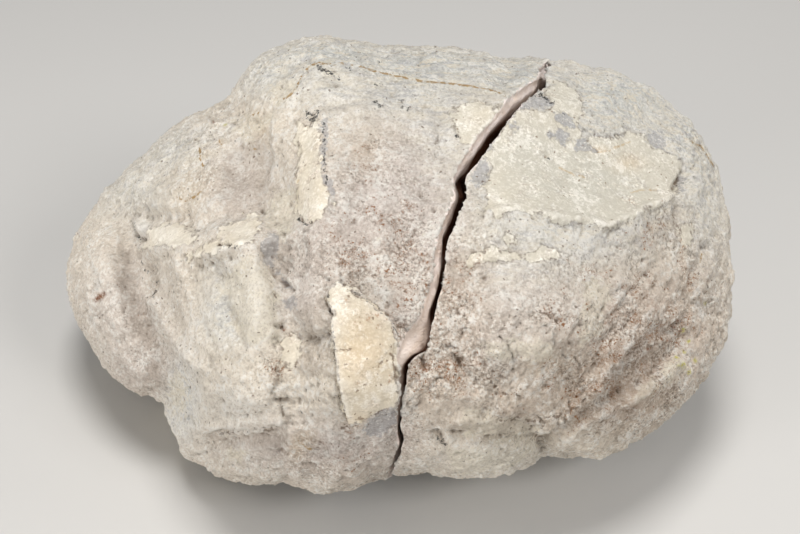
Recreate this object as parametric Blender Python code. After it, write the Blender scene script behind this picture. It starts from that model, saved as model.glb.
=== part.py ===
"""A quartz geode, broken in two and stood back together with its crack gaping at the top.

The stone is laid out as an eye in front of it and a little above it sees it. `across` and `up` are read
on the sight plane, which stands square to the line of sight through the stone's middle. `near` is the
distance from that plane towards the eye, and is negative behind it. All three are in millimetres.
"""

import math

import bmesh
import bpy
import numpy as np
from mathutils import Matrix, Vector, noise

# ---------------------------------------------------------------- driving dimensions (mm and degrees)
SIGHT_DISTANCE = 353.0  # from the eye to the sight plane
SIGHT_ELEVATION = math.radians(35.0)  # how far the eye looks down
NEAR_DEPTH = 50.0  # the stone's thickness in front of its outline
FAR_DEPTH = 56.0  # and behind it
UNDERSIDE_CUT = 0.18  # how much of that depth is missing low down, where the stone is flatter
DOME_POWER = 0.9  # below 1 squares the shoulders of the stone
RIM_SLANT = -0.24  # the outline leans back towards the top
LEFT_SETBACK = 28.0  # the left end lies further back than the middle
LEFT_SETBACK_REACH = (18.0, 58.0)  # how far left of the middle that starts, and over what width it grows
RIGHT_SETBACK = 8.0
RIGHT_SETBACK_REACH = (25.0, 50.0)
UNDERSIDE_REACH = 40.0  # how far below the middle the underside cut is complete
EVENING_SPREAD = math.radians(24.0)  # each way, when the outline is evened
EVENING_STEPS = 13
EVENED_LIMIT = 0.985  # keeps the surface from turning upright inside the true outline
RIM_BAND = 0.22  # share of the way out over which the evened outline gives way to the true one
POLE_SHARE = 0.55  # share of the ball's own radius that follows the evened outline only
RELIEF_FADE = 0.3  # roundness below which relief dies away towards the outline
CREST_ROUNDING = 0.2  # how blunt a crest's top is, as a share of its reach
FLOOR_BELOW_MIDDLE = 45.8  # the height of the stone's middle above what it stands on
CRACK_WIDTH_TOP = 2.4  # the gap between the broken faces, deep in the crack
CRACK_WIDTH_BOTTOM = 0.45
FACES_PER_HALF = 4300
SPHERE_STEPS = 7

# The outline, clockwise from the left end, as (across, up).
OUTLINE = [
    (-75.4, -0.2), (-72.9, 7.9), (-70.8, 11.8), (-66.5, 17.5), (-65.0, 17.9), (-55.2, 28.8), (-39.5, 37.5),
    (-36.3, 42.9), (-31.6, 48.1), (-29.5, 49.3), (-21.1, 51.9), (-15.9, 52.0), (-3.4, 49.8), (4.5, 49.7),
    (18.6, 48.4), (24.5, 46.9), (30.6, 47.4), (32.9, 47.0), (33.8, 46.0), (39.0, 46.5), (43.6, 44.7),
    (46.5, 44.4), (56.8, 40.4), (61.7, 35.4), (64.7, 33.6), (66.5, 31.6), (71.7, 22.5), (73.5, 14.1),
    (74.7, 3.4), (74.7, -5.7), (72.6, -17.9), (68.1, -25.7), (64.5, -30.6), (47.7, -42.7), (45.4, -43.2),
    (42.7, -43.1), (40.4, -42.2), (36.8, -42.7), (33.4, -42.2), (24.5, -46.3), (17.7, -47.7), (13.6, -47.7),
    (5.7, -46.4), (-2.3, -46.8), (-15.9, -51.2), (-25.4, -48.8), (-28.4, -49.4), (-38.6, -47.9),
    (-48.6, -43.1), (-52.4, -34.3), (-52.7, -30.6), (-56.3, -28.5), (-59.0, -28.9), (-63.1, -27.0),
    (-72.2, -14.3), (-74.7, -7.5),
]  # fmt: skip

# Broad swellings and hollows of the front: centre (across, up), radii, turn in degrees, height.
MOUNDS = {
    "top_left_bulge": ((-28.0, 41.5), (13.0, 10.0), 20, 4.0),
    "niche": ((-33.5, 21.0), (11.0, 15.0), -12, -8.0),
    "niche_corner": ((-27.5, 13.0), (7.0, 7.0), 0, -1.5),
    "upper_left_slope": ((-53.0, 21.0), (15.0, 11.0), 40, 3.0),
    "left_lobe": ((-68.0, -6.0), (12.0, 25.0), 5, 5.5),
    "saddle": ((-23.5, 0.0), (11.0, 11.0), 0, -2.6),
    "foot_bulge": ((-11.5, -26.0), (15.0, 24.0), 0, 4.5),
    "lowest_lump": ((-16.0, -46.0), (10.0, 8.0), 0, 2.5),
    "right_dish": ((42.0, 24.0), (25.0, 13.0), -8, -3.4),
    "right_front": ((34.0, -12.0), (28.0, 19.0), 8, 4.0),
    "right_shoulder": ((64.0, 2.0), (12.0, 20.0), 0, 2.0),
    "right_recess": ((63.5, 21.0), (5.0, 6.0), -30, -1.6),
    "bottom_lobe": ((12.0, -42.0), (20.0, 9.0), -4, 3.0),
    "lower_right_lobe": ((55.0, -31.0), (18.0, 8.0), 35, 1.6),
    "brow": ((-44.0, 29.0), (9.0, 5.0), 35, 1.8),
    "cheek": ((-15.0, -12.0), (9.0, 8.0), 0, 1.6),
}  # fmt: skip

# Soft folds of the front: the points they run through, half width, height (below 0 for a groove).
FOLDS = {
    "valley": ([(-40.0, 38.5), (-38.5, 30.0), (-34.0, 21.0), (-27.0, 12.0)], 8.0, -2.6),
    "lobe_groove": (
        [(-62.0, 12.0), (-59.5, 3.0), (-57.8, -5.0), (-55.2, -14.0), (-52.6, -23.0), (-51.5, -31.0)],
        8.5, -6.0),
    "middle_groove": (
        [(-29.0, 2.0), (-27.5, -7.5), (-26.4, -17.7), (-26.2, -27.9), (-25.0, -39.0), (-23.6, -47.0)],
        9.0, -3.4),
    "inner_fold": (
        [(12.0, -20.0), (18.0, -25.0), (26.0, -28.0), (35.0, -27.5), (43.0, -23.0), (49.0, -14.0),
         (54.5, -4.0)], 8.0, -1.8),
    "fold_rib": ([(34.0, -34.0), (45.0, -27.5), (52.0, -20.0), (58.0, -11.0)], 5.0, 0.8),
    "outer_fold": (
        [(30.5, -37.0), (38.6, -33.0), (46.5, -29.4), (54.9, -22.5), (62.5, -15.3), (67.4, -8.0)], 7.0, -2.3),
    "notch": ([(31.5, -44.5), (34.5, -38.5), (42.0, -36.5)], 5.0, -2.4),
    "lobe_crease": ([(0.0, -38.4), (10.0, -39.0), (20.0, -38.6), (27.0, -36.5)], 4.0, -1.5),
    "block_crease": ([(-41.0, -1.0), (-38.5, -9.0), (-36.0, -18.0), (-33.0, -25.0)], 5.5, -1.4),
    "side_flute": ([(70.5, 24.0), (72.0, 10.0), (71.5, -6.0), (68.0, -18.0)], 3.5, -1.2),
}  # fmt: skip

# Crests of the front: the points they run through, how far they reach to the left of that course and to
# the right of it, height. A crest with a short and a long side is a shoulder.
CRESTS = {
    "nose": ([(-18.6, 47.5), (-17.6, 34.0), (-17.2, 22.0), (-18.6, 9.0), (-20.0, 3.0)], 27.0, 7.5, 4.6),
    "top_edge": ([(-17.5, 46.0), (-3.0, 44.6), (13.0, 41.3), (28.0, 37.0)], 7.0, 18.0, 2.0),
    "dish_edge": (
        [(15.0, 12.0), (25.0, 10.5), (34.0, 9.6), (43.1, 8.8), (52.0, 10.5), (60.0, 16.0), (66.5, 27.0)],
        9.0, 15.0, 3.0),
    "block_edge": ([(-53.5, 3.0), (-45.0, 4.6), (-38.0, 5.2), (-30.5, 4.2)], 8.0, 12.0, 2.2),
    "block_corner": ([(-30.5, 3.0), (-29.5, -6.0), (-28.6, -16.0), (-29.5, -26.0)], 8.0, 12.0, 1.0),
}  # fmt: skip

# Raised shelves of the front, or sunken ones: closed outline, width of the sloping edge, height.
SHELVES = {
    "block": (
        [(-56.0, 6.5), (-46.0, 7.5), (-31.0, 7.0), (-28.4, -5.2), (-27.0, -14.3), (-26.6, -27.9),
         (-26.0, -36.6), (-45.0, -37.0), (-48.8, -30.0), (-52.0, -16.6), (-55.0, -5.0)], 8.5, 5.0),
    "below_block": (
        [(-50.0, -38.0), (-42.0, -37.6), (-25.4, -36.5), (-24.0, -60.0), (-52.0, -60.0)], 2.6, -2.2),
    "plate": (
        [(-15.4, -3.6), (-8.0, -6.8), (-3.0, -10.4), (-1.0, -15.0), (3.0, -19.0), (3.0, -32.0),
         (-10.0, -36.5), (-14.5, -29.5), (-15.8, -16.6)], 2.6, 1.2),
    "under_plate": (
        [(0.0, -32.5), (-6.4, -36.4), (-12.5, -39.8), (-21.0, -41.5), (-23.0, -60.0), (8.0, -60.0)],
        3.6, -1.8),
}  # fmt: skip

# The crack, from above the stone to below it: where it leaves the left half's face and the right half's,
# as (across, up), and how many degrees the left broken face turns towards the eye there.
CRACK = [
    ((34.5, 60.0), (36.2, 60.0), 15), ((33.6, 46.5), (34.3, 46.2), 12), ((31.6, 44.7), (33.4, 44.5), 5),
    ((32.3, 42.9), (33.0, 42.4), 8), ((28.1, 40.6), (32.7, 41.0), 25), ((24.5, 37.9), (28.1, 38.0), 25),
    ((22.9, 35.6), (26.1, 35.6), 20), ((20.7, 32.5), (23.8, 32.5), 20), ((17.7, 29.7), (21.3, 29.7), 20),
    ((16.3, 26.8), (19.5, 26.6), 20), ((14.3, 24.1), (17.5, 24.1), 22), ((12.0, 20.7), (15.0, 20.9), 25),
    ((12.3, 18.8), (14.3, 19.1), 2), ((13.2, 15.9), (15.1, 16.1), -3), ((11.6, 12.9), (13.7, 12.9), -3),
    ((10.0, 9.5), (12.3, 9.5), 0), ((8.6, 6.8), (10.8, 6.8), 5), ((8.2, 3.4), (10.4, 3.2), 15),
    ((7.5, -0.7), (10.0, -0.7), 15), ((7.0, -4.1), (9.5, -4.3), 15), ((5.9, -7.5), (8.2, -7.5), 18),
    ((5.0, -11.8), (7.2, -11.8), 18), ((2.3, -14.1), (6.6, -14.1), 40), ((0.7, -17.0), (6.2, -17.0), 50),
    ((0.0, -19.3), (5.9, -18.8), 45), ((-0.2, -20.4), (3.0, -20.2), 30), ((-0.9, -22.3), (1.5, -22.1), 20),
    ((-0.9, -25.7), (1.1, -25.7), 20), ((-0.8, -30.0), (0.3, -30.0), 15), ((-0.3, -32.7), (0.2, -32.7), 5),
    ((-0.6, -35.9), (0.0, -35.9), 2), ((0.1, -39.5), (0.7, -39.7), 2), ((-1.1, -43.4), (-0.6, -43.5), 0),
    ((-2.5, -46.3), (-2.0, -46.3), 0), ((-4.5, -60.0), (-4.0, -60.0), 0),
]  # fmt: skip
CRACK_LEAN = 12.0  # degrees that the crack leans to the right, deep in the stone
LIP_DEPTH = 7.0  # how deep each stretch of the broken face keeps its own lean
LIP_INSET = 0.8  # the crack's first line lies this far under the skin
CRACK_CLEARANCE = 60.0  # how far the cutting solid stands out in front of the stone
CRACK_DEPTHS = (LIP_DEPTH, 20.0, 45.0, 80.0, 130.0)  # behind the lip; the last is out at the back
CRACK_NARROWING = 1.15  # the crack is at its narrowest before it reaches its lower end
CRACK_WANDER = 2.0  # how far the deep crack strays to either side
CRACK_WAVE_DOWN = 9.0  # waves of that straying along the crack
CRACK_WAVE_DEPTH = 25.0  # and their length into the stone
CRACK_WANDER_START = 10.0  # depth over which the straying sets in

# Each half stands on a sole of its own, with a hollow between: middle (x, y), radius and drop.
SOLES = [((-40.0, 13.0), 26.0, 2.6), ((34.0, 11.0), 26.0, 1.4), ((-4.0, -14.0), 62.0, -2.6)]
SOLES_BELOW = -27.0  # soles only shape what is lower than this
SOLES_FADE = 8.0  # over this height they come in fully
SOLES_BEHIND = 0.35  # and over this share of the way to the back

# The lumps and hollows of the sides and back that the eye doesn't see.
BACK_LUMPS = 26
BACK_LUMP_SEED = 11
BACK_LUMP_RADII = (14.0, 30.0)
BACK_LUMP_HEIGHTS = (1.5, 5.0)
GRAIN = [(17.0, 0.9), (8.0, 0.45)]  # unevenness all over: wavelength, height

FINISH = {
    "left_half": ((0.72, 0.68, 0.61, 1.0), 0.9),
    "right_half": ((0.71, 0.67, 0.60, 1.0), 0.9),
}


# ---------------------------------------------------------------- small shape functions
def smooth(t):
    """0 below 0, 1 above 1, and an even S in between."""
    t = np.clip(t, 0.0, 1.0)
    return t * t * (3.0 - 2.0 * t)


def bump(distance):
    """1 at distance 0, falling smoothly to 0 at distance 1."""
    return np.clip(1.0 - distance**2, 0.0, None) ** 2


def mound(across, up, centre, radii, turn):
    """An oval swelling: 1 at its centre and 0 from its edge outwards."""
    c, s = math.cos(math.radians(turn)), math.sin(math.radians(turn))
    da, du = across - centre[0], up - centre[1]
    return bump(np.hypot((da * c + du * s) / radii[0], (du * c - da * s) / radii[1]))


def crest(distance):
    """1 at distance 0, where it is nearly sharp, and 0 from distance 1 outwards."""
    peak = (1.0 - CREST_ROUNDING) ** 2
    return np.clip(1.0 - np.hypot(distance, CREST_ROUNDING), 0.0, None) ** 2 / peak


def line_distance(across, up, points):
    """The distance to a run of straight stretches, and the side: 1 to the left of it, -1 to the right.

    Round the two ends the side passes evenly from one to the other.
    """
    least = np.full(across.shape, np.inf)
    side = np.zeros(across.shape)
    for (a0, u0), (a1, u1) in zip(points, points[1:]):
        run, rise = a1 - a0, u1 - u0
        length = math.hypot(run, rise)
        t = np.clip(((across - a0) * run + (up - u0) * rise) / length**2, 0.0, 1.0)
        distance = np.hypot(across - a0 - t * run, up - u0 - t * rise)
        turn = (run * (up - u0) - rise * (across - a0)) / (length * np.maximum(distance, 1e-6))
        side = np.where(distance < least, np.clip(turn, -1.0, 1.0), side)
        least = np.minimum(least, distance)
    return least, side


def depth_inside(across, up, points):
    """The distance to a closed outline, counted positive inside it and negative outside."""
    closed = points + points[:1]
    inside = np.zeros(across.shape, bool)
    for (a0, u0), (a1, u1) in zip(closed, closed[1:]):
        crosses = (u0 > up) != (u1 > up)
        run = (a1 - a0) * (up - u0) / ((u1 - u0) or 1e-9) + a0
        inside ^= crosses & (across < run)
    return np.where(inside, 1.0, -1.0) * line_distance(across, up, closed)[0]


def grain(places, wavelength):
    """Smooth unevenness between about -1 and 1, at each place in millimetres."""
    return np.array([noise.noise(Vector(p) / wavelength) for p in places])


# ---------------------------------------------------------------- the stone's surface
def outline_reach(angle, evened=False):
    """How far the outline is from the middle of the sight plane in each direction, as it is or evened."""
    points = np.array(OUTLINE)
    angles, reaches = np.arctan2(points[:, 1], points[:, 0]), np.hypot(*points.T)
    order = np.argsort(angles)
    angles, reaches = angles[order], reaches[order]
    if not evened:
        return np.interp(angle, angles, reaches, period=math.tau)
    spread = np.linspace(-EVENING_SPREAD, EVENING_SPREAD, EVENING_STEPS)
    return np.mean([np.interp(angle + step, angles, reaches, period=math.tau) for step in spread], axis=0)


def rim_depth(across, up):
    """How near the stone's outline lies: further back towards the top and at both ends."""
    left_start, left_width = LEFT_SETBACK_REACH
    right_start, right_width = RIGHT_SETBACK_REACH
    left = LEFT_SETBACK * smooth((-across - left_start) / left_width)
    right = RIGHT_SETBACK * smooth((across - right_start) / right_width)
    return RIM_SLANT * up - left - right


def front_relief(across, up):
    """The height of every named mound, fold, crest and shelf of the front together."""
    height = np.zeros(across.shape)
    for centre, radii, turn, rise in MOUNDS.values():
        height += rise * mound(across, up, centre, radii, turn)
    for points, half_width, rise in FOLDS.values():
        height += rise * bump(line_distance(across, up, points)[0] / half_width)
    for points, left_reach, right_reach, rise in CRESTS.values():
        distance, side = line_distance(across, up, points)
        reach = right_reach + (left_reach - right_reach) * smooth(0.5 + side / 2.0)
        height += rise * crest(distance / reach)
    for points, edge, rise in SHELVES.values():
        height += rise * smooth(0.5 + depth_inside(across, up, points) / edge)
    return height


def roundness(across, up):
    """1 over the middle of the stone, falling to 0 at its outline, with an evened course in between."""
    angle, reach = np.arctan2(up, across), np.hypot(across, up)
    rim_share = np.clip(reach / outline_reach(angle), 0.0, 1.0)
    evened_share = np.clip(reach / outline_reach(angle, evened=True), 0.0, EVENED_LIMIT)
    share = evened_share + (rim_share - evened_share) * smooth((rim_share - 1.0 + RIM_BAND) / RIM_BAND)
    return np.clip(1.0 - share**2, 0.0, 1.0) ** 0.5


def plain_depth(across, up, front):
    """How near the surface is before any relief, on its front or on its back."""
    far = FAR_DEPTH * (1.0 - UNDERSIDE_CUT * smooth(-up / UNDERSIDE_REACH))
    return rim_depth(across, up) + roundness(across, up) ** DOME_POWER * np.where(front, NEAR_DEPTH, -far)


def back_relief(places):
    """Lumps and hollows spread over the hidden side, each around a place on it."""
    rng = np.random.default_rng(BACK_LUMP_SEED)
    height = np.zeros(len(places))
    for _ in range(BACK_LUMPS):
        angle, share = rng.uniform(0.0, math.tau, 1), math.sqrt(rng.uniform(0.0, 0.9))
        across, up = share * outline_reach(angle) * np.array([np.cos(angle[0]), np.sin(angle[0])])
        centre = [across, up, plain_depth(np.array([across]), np.array([up]), False)[0]]
        radius = rng.uniform(*BACK_LUMP_RADII)
        rise = rng.uniform(*BACK_LUMP_HEIGHTS) * rng.choice([1.0, -1.0])
        height += rise * bump(np.linalg.norm(places - centre, axis=1) / radius)
    return height


def surface_depth(across, up, front):
    """How near the surface is, with its relief, on its front or on its back."""
    near = plain_depth(across, up, front)
    places = np.stack([across, up, near], axis=1)
    relief = np.where(front, front_relief(across, up), back_relief(places))
    relief += sum(rise * grain(places, wavelength) for wavelength, rise in GRAIN)
    return near + smooth(roundness(across, up) / RELIEF_FADE) * relief * np.where(front, 1.0, -1.0)


def sight_surface(directions):
    """Where each direction of a unit ball goes: (across, up, near) on the stone's surface."""
    angle = np.arctan2(directions[:, 1], directions[:, 0])
    share = np.hypot(directions[:, 0], directions[:, 1])
    rim, evened = outline_reach(angle), outline_reach(angle, evened=True)
    reach = share * (evened + (rim - evened) * smooth((share - POLE_SHARE) / (1.0 - POLE_SHARE)))
    across, up = reach * np.cos(angle), reach * np.sin(angle)
    return np.stack([across, up, surface_depth(across, up, directions[:, 2] > 0.0)], axis=1)


def stone_frame(places):
    """Sight places, in mm, to the stone's frame, in metres: x to the right, y away, z up."""
    across, up, near = np.asarray(places, float).T
    taper = 1.0 - near / SIGHT_DISTANCE
    across, up = across * taper, up * taper
    c, s = math.cos(SIGHT_ELEVATION), math.sin(SIGHT_ELEVATION)
    return np.stack([across, up * s - near * c, up * c + near * s], axis=1) / 1000.0


def shape_soles(points, behind):
    """Draws the underside down into one sole for each half, and up between them."""
    x, y, z = points.T * 1000.0
    below = smooth(behind / SOLES_BEHIND) * smooth((SOLES_BELOW - z) / SOLES_FADE)
    for (middle_x, middle_y), radius, drop in SOLES:
        z = z - below * drop * bump(np.hypot(x - middle_x, y - middle_y) / radius)
    return np.stack([x, y, z], axis=1) / 1000.0


# ---------------------------------------------------------------- objects
def new_object(name, mesh):
    made = bpy.data.objects.new(name, mesh)
    bpy.context.scene.collection.objects.link(made)
    return made


def whole_stone():
    """The unbroken stone, as one closed skin."""
    skin = bmesh.new()
    bmesh.ops.create_icosphere(skin, subdivisions=SPHERE_STEPS, radius=1.0)
    directions = np.array([v.co for v in skin.verts])
    places = shape_soles(stone_frame(sight_surface(directions)), -directions[:, 2])
    for vertex, place in zip(skin.verts, places):
        vertex.co = place
    mesh = bpy.data.meshes.new("whole_stone")
    skin.to_mesh(mesh)
    skin.free()
    return new_object("whole_stone", mesh)


def crack_profile(side, station):
    """One line of a broken face, from in front of the stone to behind it, as sight places."""
    left, right, lean = CRACK[station]
    across, up = (left, right)[side]
    level = (left[1] + right[1]) / 2.0
    middle = np.array([(left[0] + right[0]) / 2.0])
    near = surface_depth(middle, np.array([level]), True)[0] - LIP_INSET
    down = station / (len(CRACK) - 1)
    narrowed = float(smooth(down * CRACK_NARROWING))
    width = CRACK_WIDTH_TOP + (CRACK_WIDTH_BOTTOM - CRACK_WIDTH_TOP) * narrowed
    lip = left[0] + LIP_DEPTH * math.tan(math.radians(lean))
    if side == 1:
        lip = max(lip + width, across + 0.5 * LIP_DEPTH * math.tan(math.radians(CRACK_LEAN)))
    profile = [(across, up, near + CRACK_CLEARANCE), (across, up, near)]
    profile.append(((across + lip) / 2.0, level, near - LIP_DEPTH / 2.0))
    for depth in CRACK_DEPTHS:
        deeper = depth - LIP_DEPTH
        wave = noise.noise(Vector((down * CRACK_WAVE_DOWN, depth / CRACK_WAVE_DEPTH, 4.0)))
        wander = CRACK_WANDER * wave * min(deeper / CRACK_WANDER_START, 1.0)
        profile.append((lip + deeper * math.tan(math.radians(CRACK_LEAN)) + wander, level, near - depth))
    return profile


def crack_cutter():
    """The open space of the crack, as a closed solid that runs right through the stone."""
    sheets = [[stone_frame(crack_profile(side, i)) for i in range(len(CRACK))] for side in (0, 1)]
    shell = bmesh.new()
    rows = [[[shell.verts.new(p) for p in line] for line in sheet] for sheet in sheets]
    lines, depth = len(rows[0]), len(rows[0][0])
    for sheet in rows:
        for i in range(lines - 1):
            for j in range(depth - 1):
                shell.faces.new([sheet[i][j], sheet[i + 1][j], sheet[i + 1][j + 1], sheet[i][j + 1]])
    left, right = rows
    for i in range(lines - 1):
        for j in (0, depth - 1):
            shell.faces.new([left[i][j], left[i + 1][j], right[i + 1][j], right[i][j]])
    for j in range(depth - 1):
        for i in (0, lines - 1):
            shell.faces.new([left[i][j], left[i][j + 1], right[i][j + 1], right[i][j]])
    bmesh.ops.recalc_face_normals(shell, faces=shell.faces)
    bmesh.ops.triangulate(shell, faces=shell.faces)
    mesh = bpy.data.meshes.new("crack")
    shell.to_mesh(mesh)
    shell.free()
    cutter = new_object("crack", mesh)
    cutter.hide_render = True
    cutter.display_type = "WIRE"
    return cutter


def applied(source, name):
    """A new object with the mesh that the source shows once its modifiers have run."""
    bpy.context.view_layer.update()
    evaluated = source.evaluated_get(bpy.context.evaluated_depsgraph_get())
    return new_object(name, bpy.data.meshes.new_from_object(evaluated))


def loose_parts(broken):
    """The separate closed skins of a mesh, largest first, as sets of vertex indices."""
    mesh = bmesh.new()
    mesh.from_mesh(broken.data)
    unseen, parts = set(mesh.verts), []
    while unseen:
        front = [unseen.pop()]
        part = set(front)
        while front:
            for edge in front.pop().link_edges:
                for vertex in edge.verts:
                    if vertex in unseen:
                        unseen.discard(vertex)
                        part.add(vertex)
                        front.append(vertex)
        parts.append({vertex.index for vertex in part})
    mesh.free()
    return sorted(parts, key=len, reverse=True)


def half_from(broken, kept, name):
    """One half as its own object: the kept vertices, thinned to a moderate number of faces."""
    mesh = bmesh.new()
    mesh.from_mesh(broken.data)
    bmesh.ops.delete(mesh, geom=[v for v in mesh.verts if v.index not in kept], context="VERTS")
    bmesh.ops.triangulate(mesh, faces=mesh.faces)
    fine = bpy.data.meshes.new(name + "_fine")
    mesh.to_mesh(fine)
    mesh.free()
    source = new_object(name + "_fine", fine)
    thin = source.modifiers.new("thin", "DECIMATE")
    thin.ratio = FACES_PER_HALF / len(fine.polygons)
    half = applied(source, name)
    bpy.data.objects.remove(source)
    return half


def stand_on_floor(half, floor):
    """Cuts the half's foot off flat at the floor's height."""
    mesh = bmesh.new()
    mesh.from_mesh(half.data)
    everything = mesh.verts[:] + mesh.edges[:] + mesh.faces[:]
    plane = {"plane_co": (0.0, 0.0, floor), "plane_no": (0.0, 0.0, -1.0)}
    cut = bmesh.ops.bisect_plane(mesh, geom=everything, dist=1e-7, clear_outer=True, **plane)
    rim = [e for e in cut["geom_cut"] if isinstance(e, bmesh.types.BMEdge)]
    bmesh.ops.contextual_create(mesh, geom=rim)
    bmesh.ops.recalc_face_normals(mesh, faces=mesh.faces)
    mesh.to_mesh(half.data)
    mesh.free()


def finish(half):
    colour, roughness = FINISH[half.name]
    material = bpy.data.materials.new(half.name + "_stone")
    material.use_nodes = True
    shader = material.node_tree.nodes["Principled BSDF"]
    shader.inputs["Base Color"].default_value = colour
    shader.inputs["Roughness"].default_value = roughness
    shader.inputs["Metallic"].default_value = 0.0
    half.data.materials.clear()
    half.data.materials.append(material)


def centre_on_floor(halves):
    """Moves the geode so that its origin is the middle of its box, on the floor it stands on."""
    points = np.array([v.co for half in halves for v in half.data.vertices])
    low, high = points.min(axis=0), points.max(axis=0)
    shift = Vector((-(low[0] + high[0]) / 2.0, -(low[1] + high[1]) / 2.0, -low[2]))
    for half in halves:
        half.data.transform(Matrix.Translation(shift))
    return shift


def broken_stone():
    """The stone with the crack cut through it, as one mesh of loose parts."""
    stone = whole_stone()
    cut = stone.modifiers.new("crack", "BOOLEAN")
    cut.operation = "DIFFERENCE"
    cut.solver = "EXACT"
    cut.object = crack_cutter()
    broken = applied(stone, "broken")
    bpy.data.objects.remove(stone)
    return broken


def main():
    for old in list(bpy.data.objects):
        bpy.data.objects.remove(old)
    broken = broken_stone()
    parts = loose_parts(broken)[:2]
    middle = [sum(broken.data.vertices[i].co.x for i in part) / len(part) for part in parts]
    names = ["left_half", "right_half"] if middle[0] < middle[1] else ["right_half", "left_half"]
    halves = [half_from(broken, part, name) for part, name in zip(parts, names)]
    bpy.data.objects.remove(broken)
    for half in halves:
        stand_on_floor(half, -FLOOR_BELOW_MIDDLE / 1000.0)
        finish(half)
    return centre_on_floor(halves)


main()
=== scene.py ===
# %% [markdown]
# # A quartz geode, broken in two
# The real thing is a nodule about as big as two fists. Quartz grew inside it, and chalky clay dried on its
# skin. It has been broken in two and the halves stood back together, so a crack gapes at the top and
# closes at the bottom. The solids of both halves are already there, plain and faceted. This lesson gives
# them their skin: first the small forms, as real geometry, and then the colours, as a material that
# follows those forms.

# %% Load the two plain halves
import math

import bpy
import numpy as np
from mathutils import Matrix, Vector, noise
from mathutils.bvhtree import BVHTree
from mathutils.kdtree import KDTree


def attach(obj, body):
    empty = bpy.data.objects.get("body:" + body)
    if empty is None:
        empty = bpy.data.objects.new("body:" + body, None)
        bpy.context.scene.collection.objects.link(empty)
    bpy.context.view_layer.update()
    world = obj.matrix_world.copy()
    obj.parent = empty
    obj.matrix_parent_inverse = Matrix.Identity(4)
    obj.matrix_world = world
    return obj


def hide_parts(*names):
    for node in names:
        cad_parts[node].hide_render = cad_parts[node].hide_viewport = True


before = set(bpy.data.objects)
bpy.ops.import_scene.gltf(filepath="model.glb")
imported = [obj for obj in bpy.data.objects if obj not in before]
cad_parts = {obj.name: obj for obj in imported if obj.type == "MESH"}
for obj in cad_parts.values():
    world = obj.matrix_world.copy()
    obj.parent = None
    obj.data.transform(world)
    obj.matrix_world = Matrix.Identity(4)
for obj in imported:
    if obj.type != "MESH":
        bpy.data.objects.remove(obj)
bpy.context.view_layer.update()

# %% [markdown]
# ## The eye in front of the stone
# Every marking on the skin is placed as an eye in front of the stone sees it. That eye is the camera, so it
# comes first. It looks down by 35 degrees from 353 mm away, at the middle of the stone. A long lens
# from further off would flatten the stone, and this distance keeps the near bulges as large as they look.

# %% Camera
MM = 0.001
SIGHT_POINT = Vector((2.338, -5.071, 45.800)) * MM  # the middle of the stone
SIGHT_DISTANCE = 353.0  # mm, from the eye to that point
SIGHT_ELEVATION = math.radians(35.0)  # how far the eye looks down
LENS = 70.0  # mm, on a sensor 36 mm wide

TO_EYE = Vector((0.0, -math.cos(SIGHT_ELEVATION), math.sin(SIGHT_ELEVATION)))
camera = bpy.data.objects.new("camera", bpy.data.cameras.new("camera"))
bpy.context.scene.collection.objects.link(camera)
camera.data.lens = LENS
camera.data.clip_start = 0.01
camera.location = SIGHT_POINT + TO_EYE * SIGHT_DISTANCE * MM
camera.rotation_euler = (-TO_EYE).to_track_quat("-Z", "Y").to_euler()
bpy.context.scene.camera = camera
print("camera at", [round(c, 3) for c in camera.location])

# %% [markdown]
# ## Places as the eye sees them
# A marking is easiest to draw on a flat sheet that stands square to the line of sight: so far across, so
# far up. The next helper turns points of the stone into that sheet's millimetres. `near` says how far
# in front of the sheet a point lies. Closer points look larger, and `taper` undoes that.

# %% From the stone to the sight sheet
def sight_places(points):
    """(across, up, near) in millimetres for points in metres."""
    x, y, z = ((points - np.array(SIGHT_POINT)) / MM).T
    c, s = math.cos(SIGHT_ELEVATION), math.sin(SIGHT_ELEVATION)
    near = z * s - y * c
    taper = 1.0 - near / SIGHT_DISTANCE
    return x / taper, (y * s + z * c) / taper, near


def smooth(t):
    """0 below 0, 1 above 1, and an even S in between."""
    t = np.clip(t, 0.0, 1.0)
    return t * t * (3.0 - 2.0 * t)


def run_distance(across, up, points):
    """The distance to a run of straight stretches, in mm."""
    least = np.full(across.shape, np.inf)
    for (a0, u0), (a1, u1) in zip(points, points[1:]):
        run, rise = a1 - a0, u1 - u0
        t = np.clip(((across - a0) * run + (up - u0) * rise) / (run**2 + rise**2), 0.0, 1.0)
        least = np.minimum(least, np.hypot(across - a0 - t * run, up - u0 - t * rise))
    return least


REACH = 8.0  # mm, how far from a marking its distance still counts


def near_marking(across, up, points):
    """Which places lie close enough to a marking to be touched by it."""
    low, high = np.min(points, axis=0) - REACH, np.max(points, axis=0) + REACH
    return (across > low[0]) & (across < high[0]) & (up > low[1]) & (up < high[1])


def patch_depth(across, up, outline):
    """How deep each place lies inside a closed outline, in mm, and below 0 outside it."""
    depth = np.full(across.shape, -REACH)
    touched = near_marking(across, up, outline)
    a, u = across[touched], up[touched]
    closed = outline + outline[:1]
    inside = np.zeros(a.shape, bool)
    for (a0, u0), (a1, u1) in zip(closed, closed[1:]):
        crosses = (u0 > u) != (u1 > u)
        inside ^= crosses & (a < (a1 - a0) * (u - u0) / ((u1 - u0) or 1e-9) + a0)
    depth[touched] = np.maximum(np.where(inside, 1.0, -1.0) * run_distance(a, u, closed), -REACH)
    return depth


def deepest(across, up, patches):
    """The depth inside whichever of several outlines is nearest."""
    depth = np.full(across.shape, -REACH)
    for outline in patches:
        depth = np.maximum(depth, patch_depth(across, up, outline))
    return depth


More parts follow.
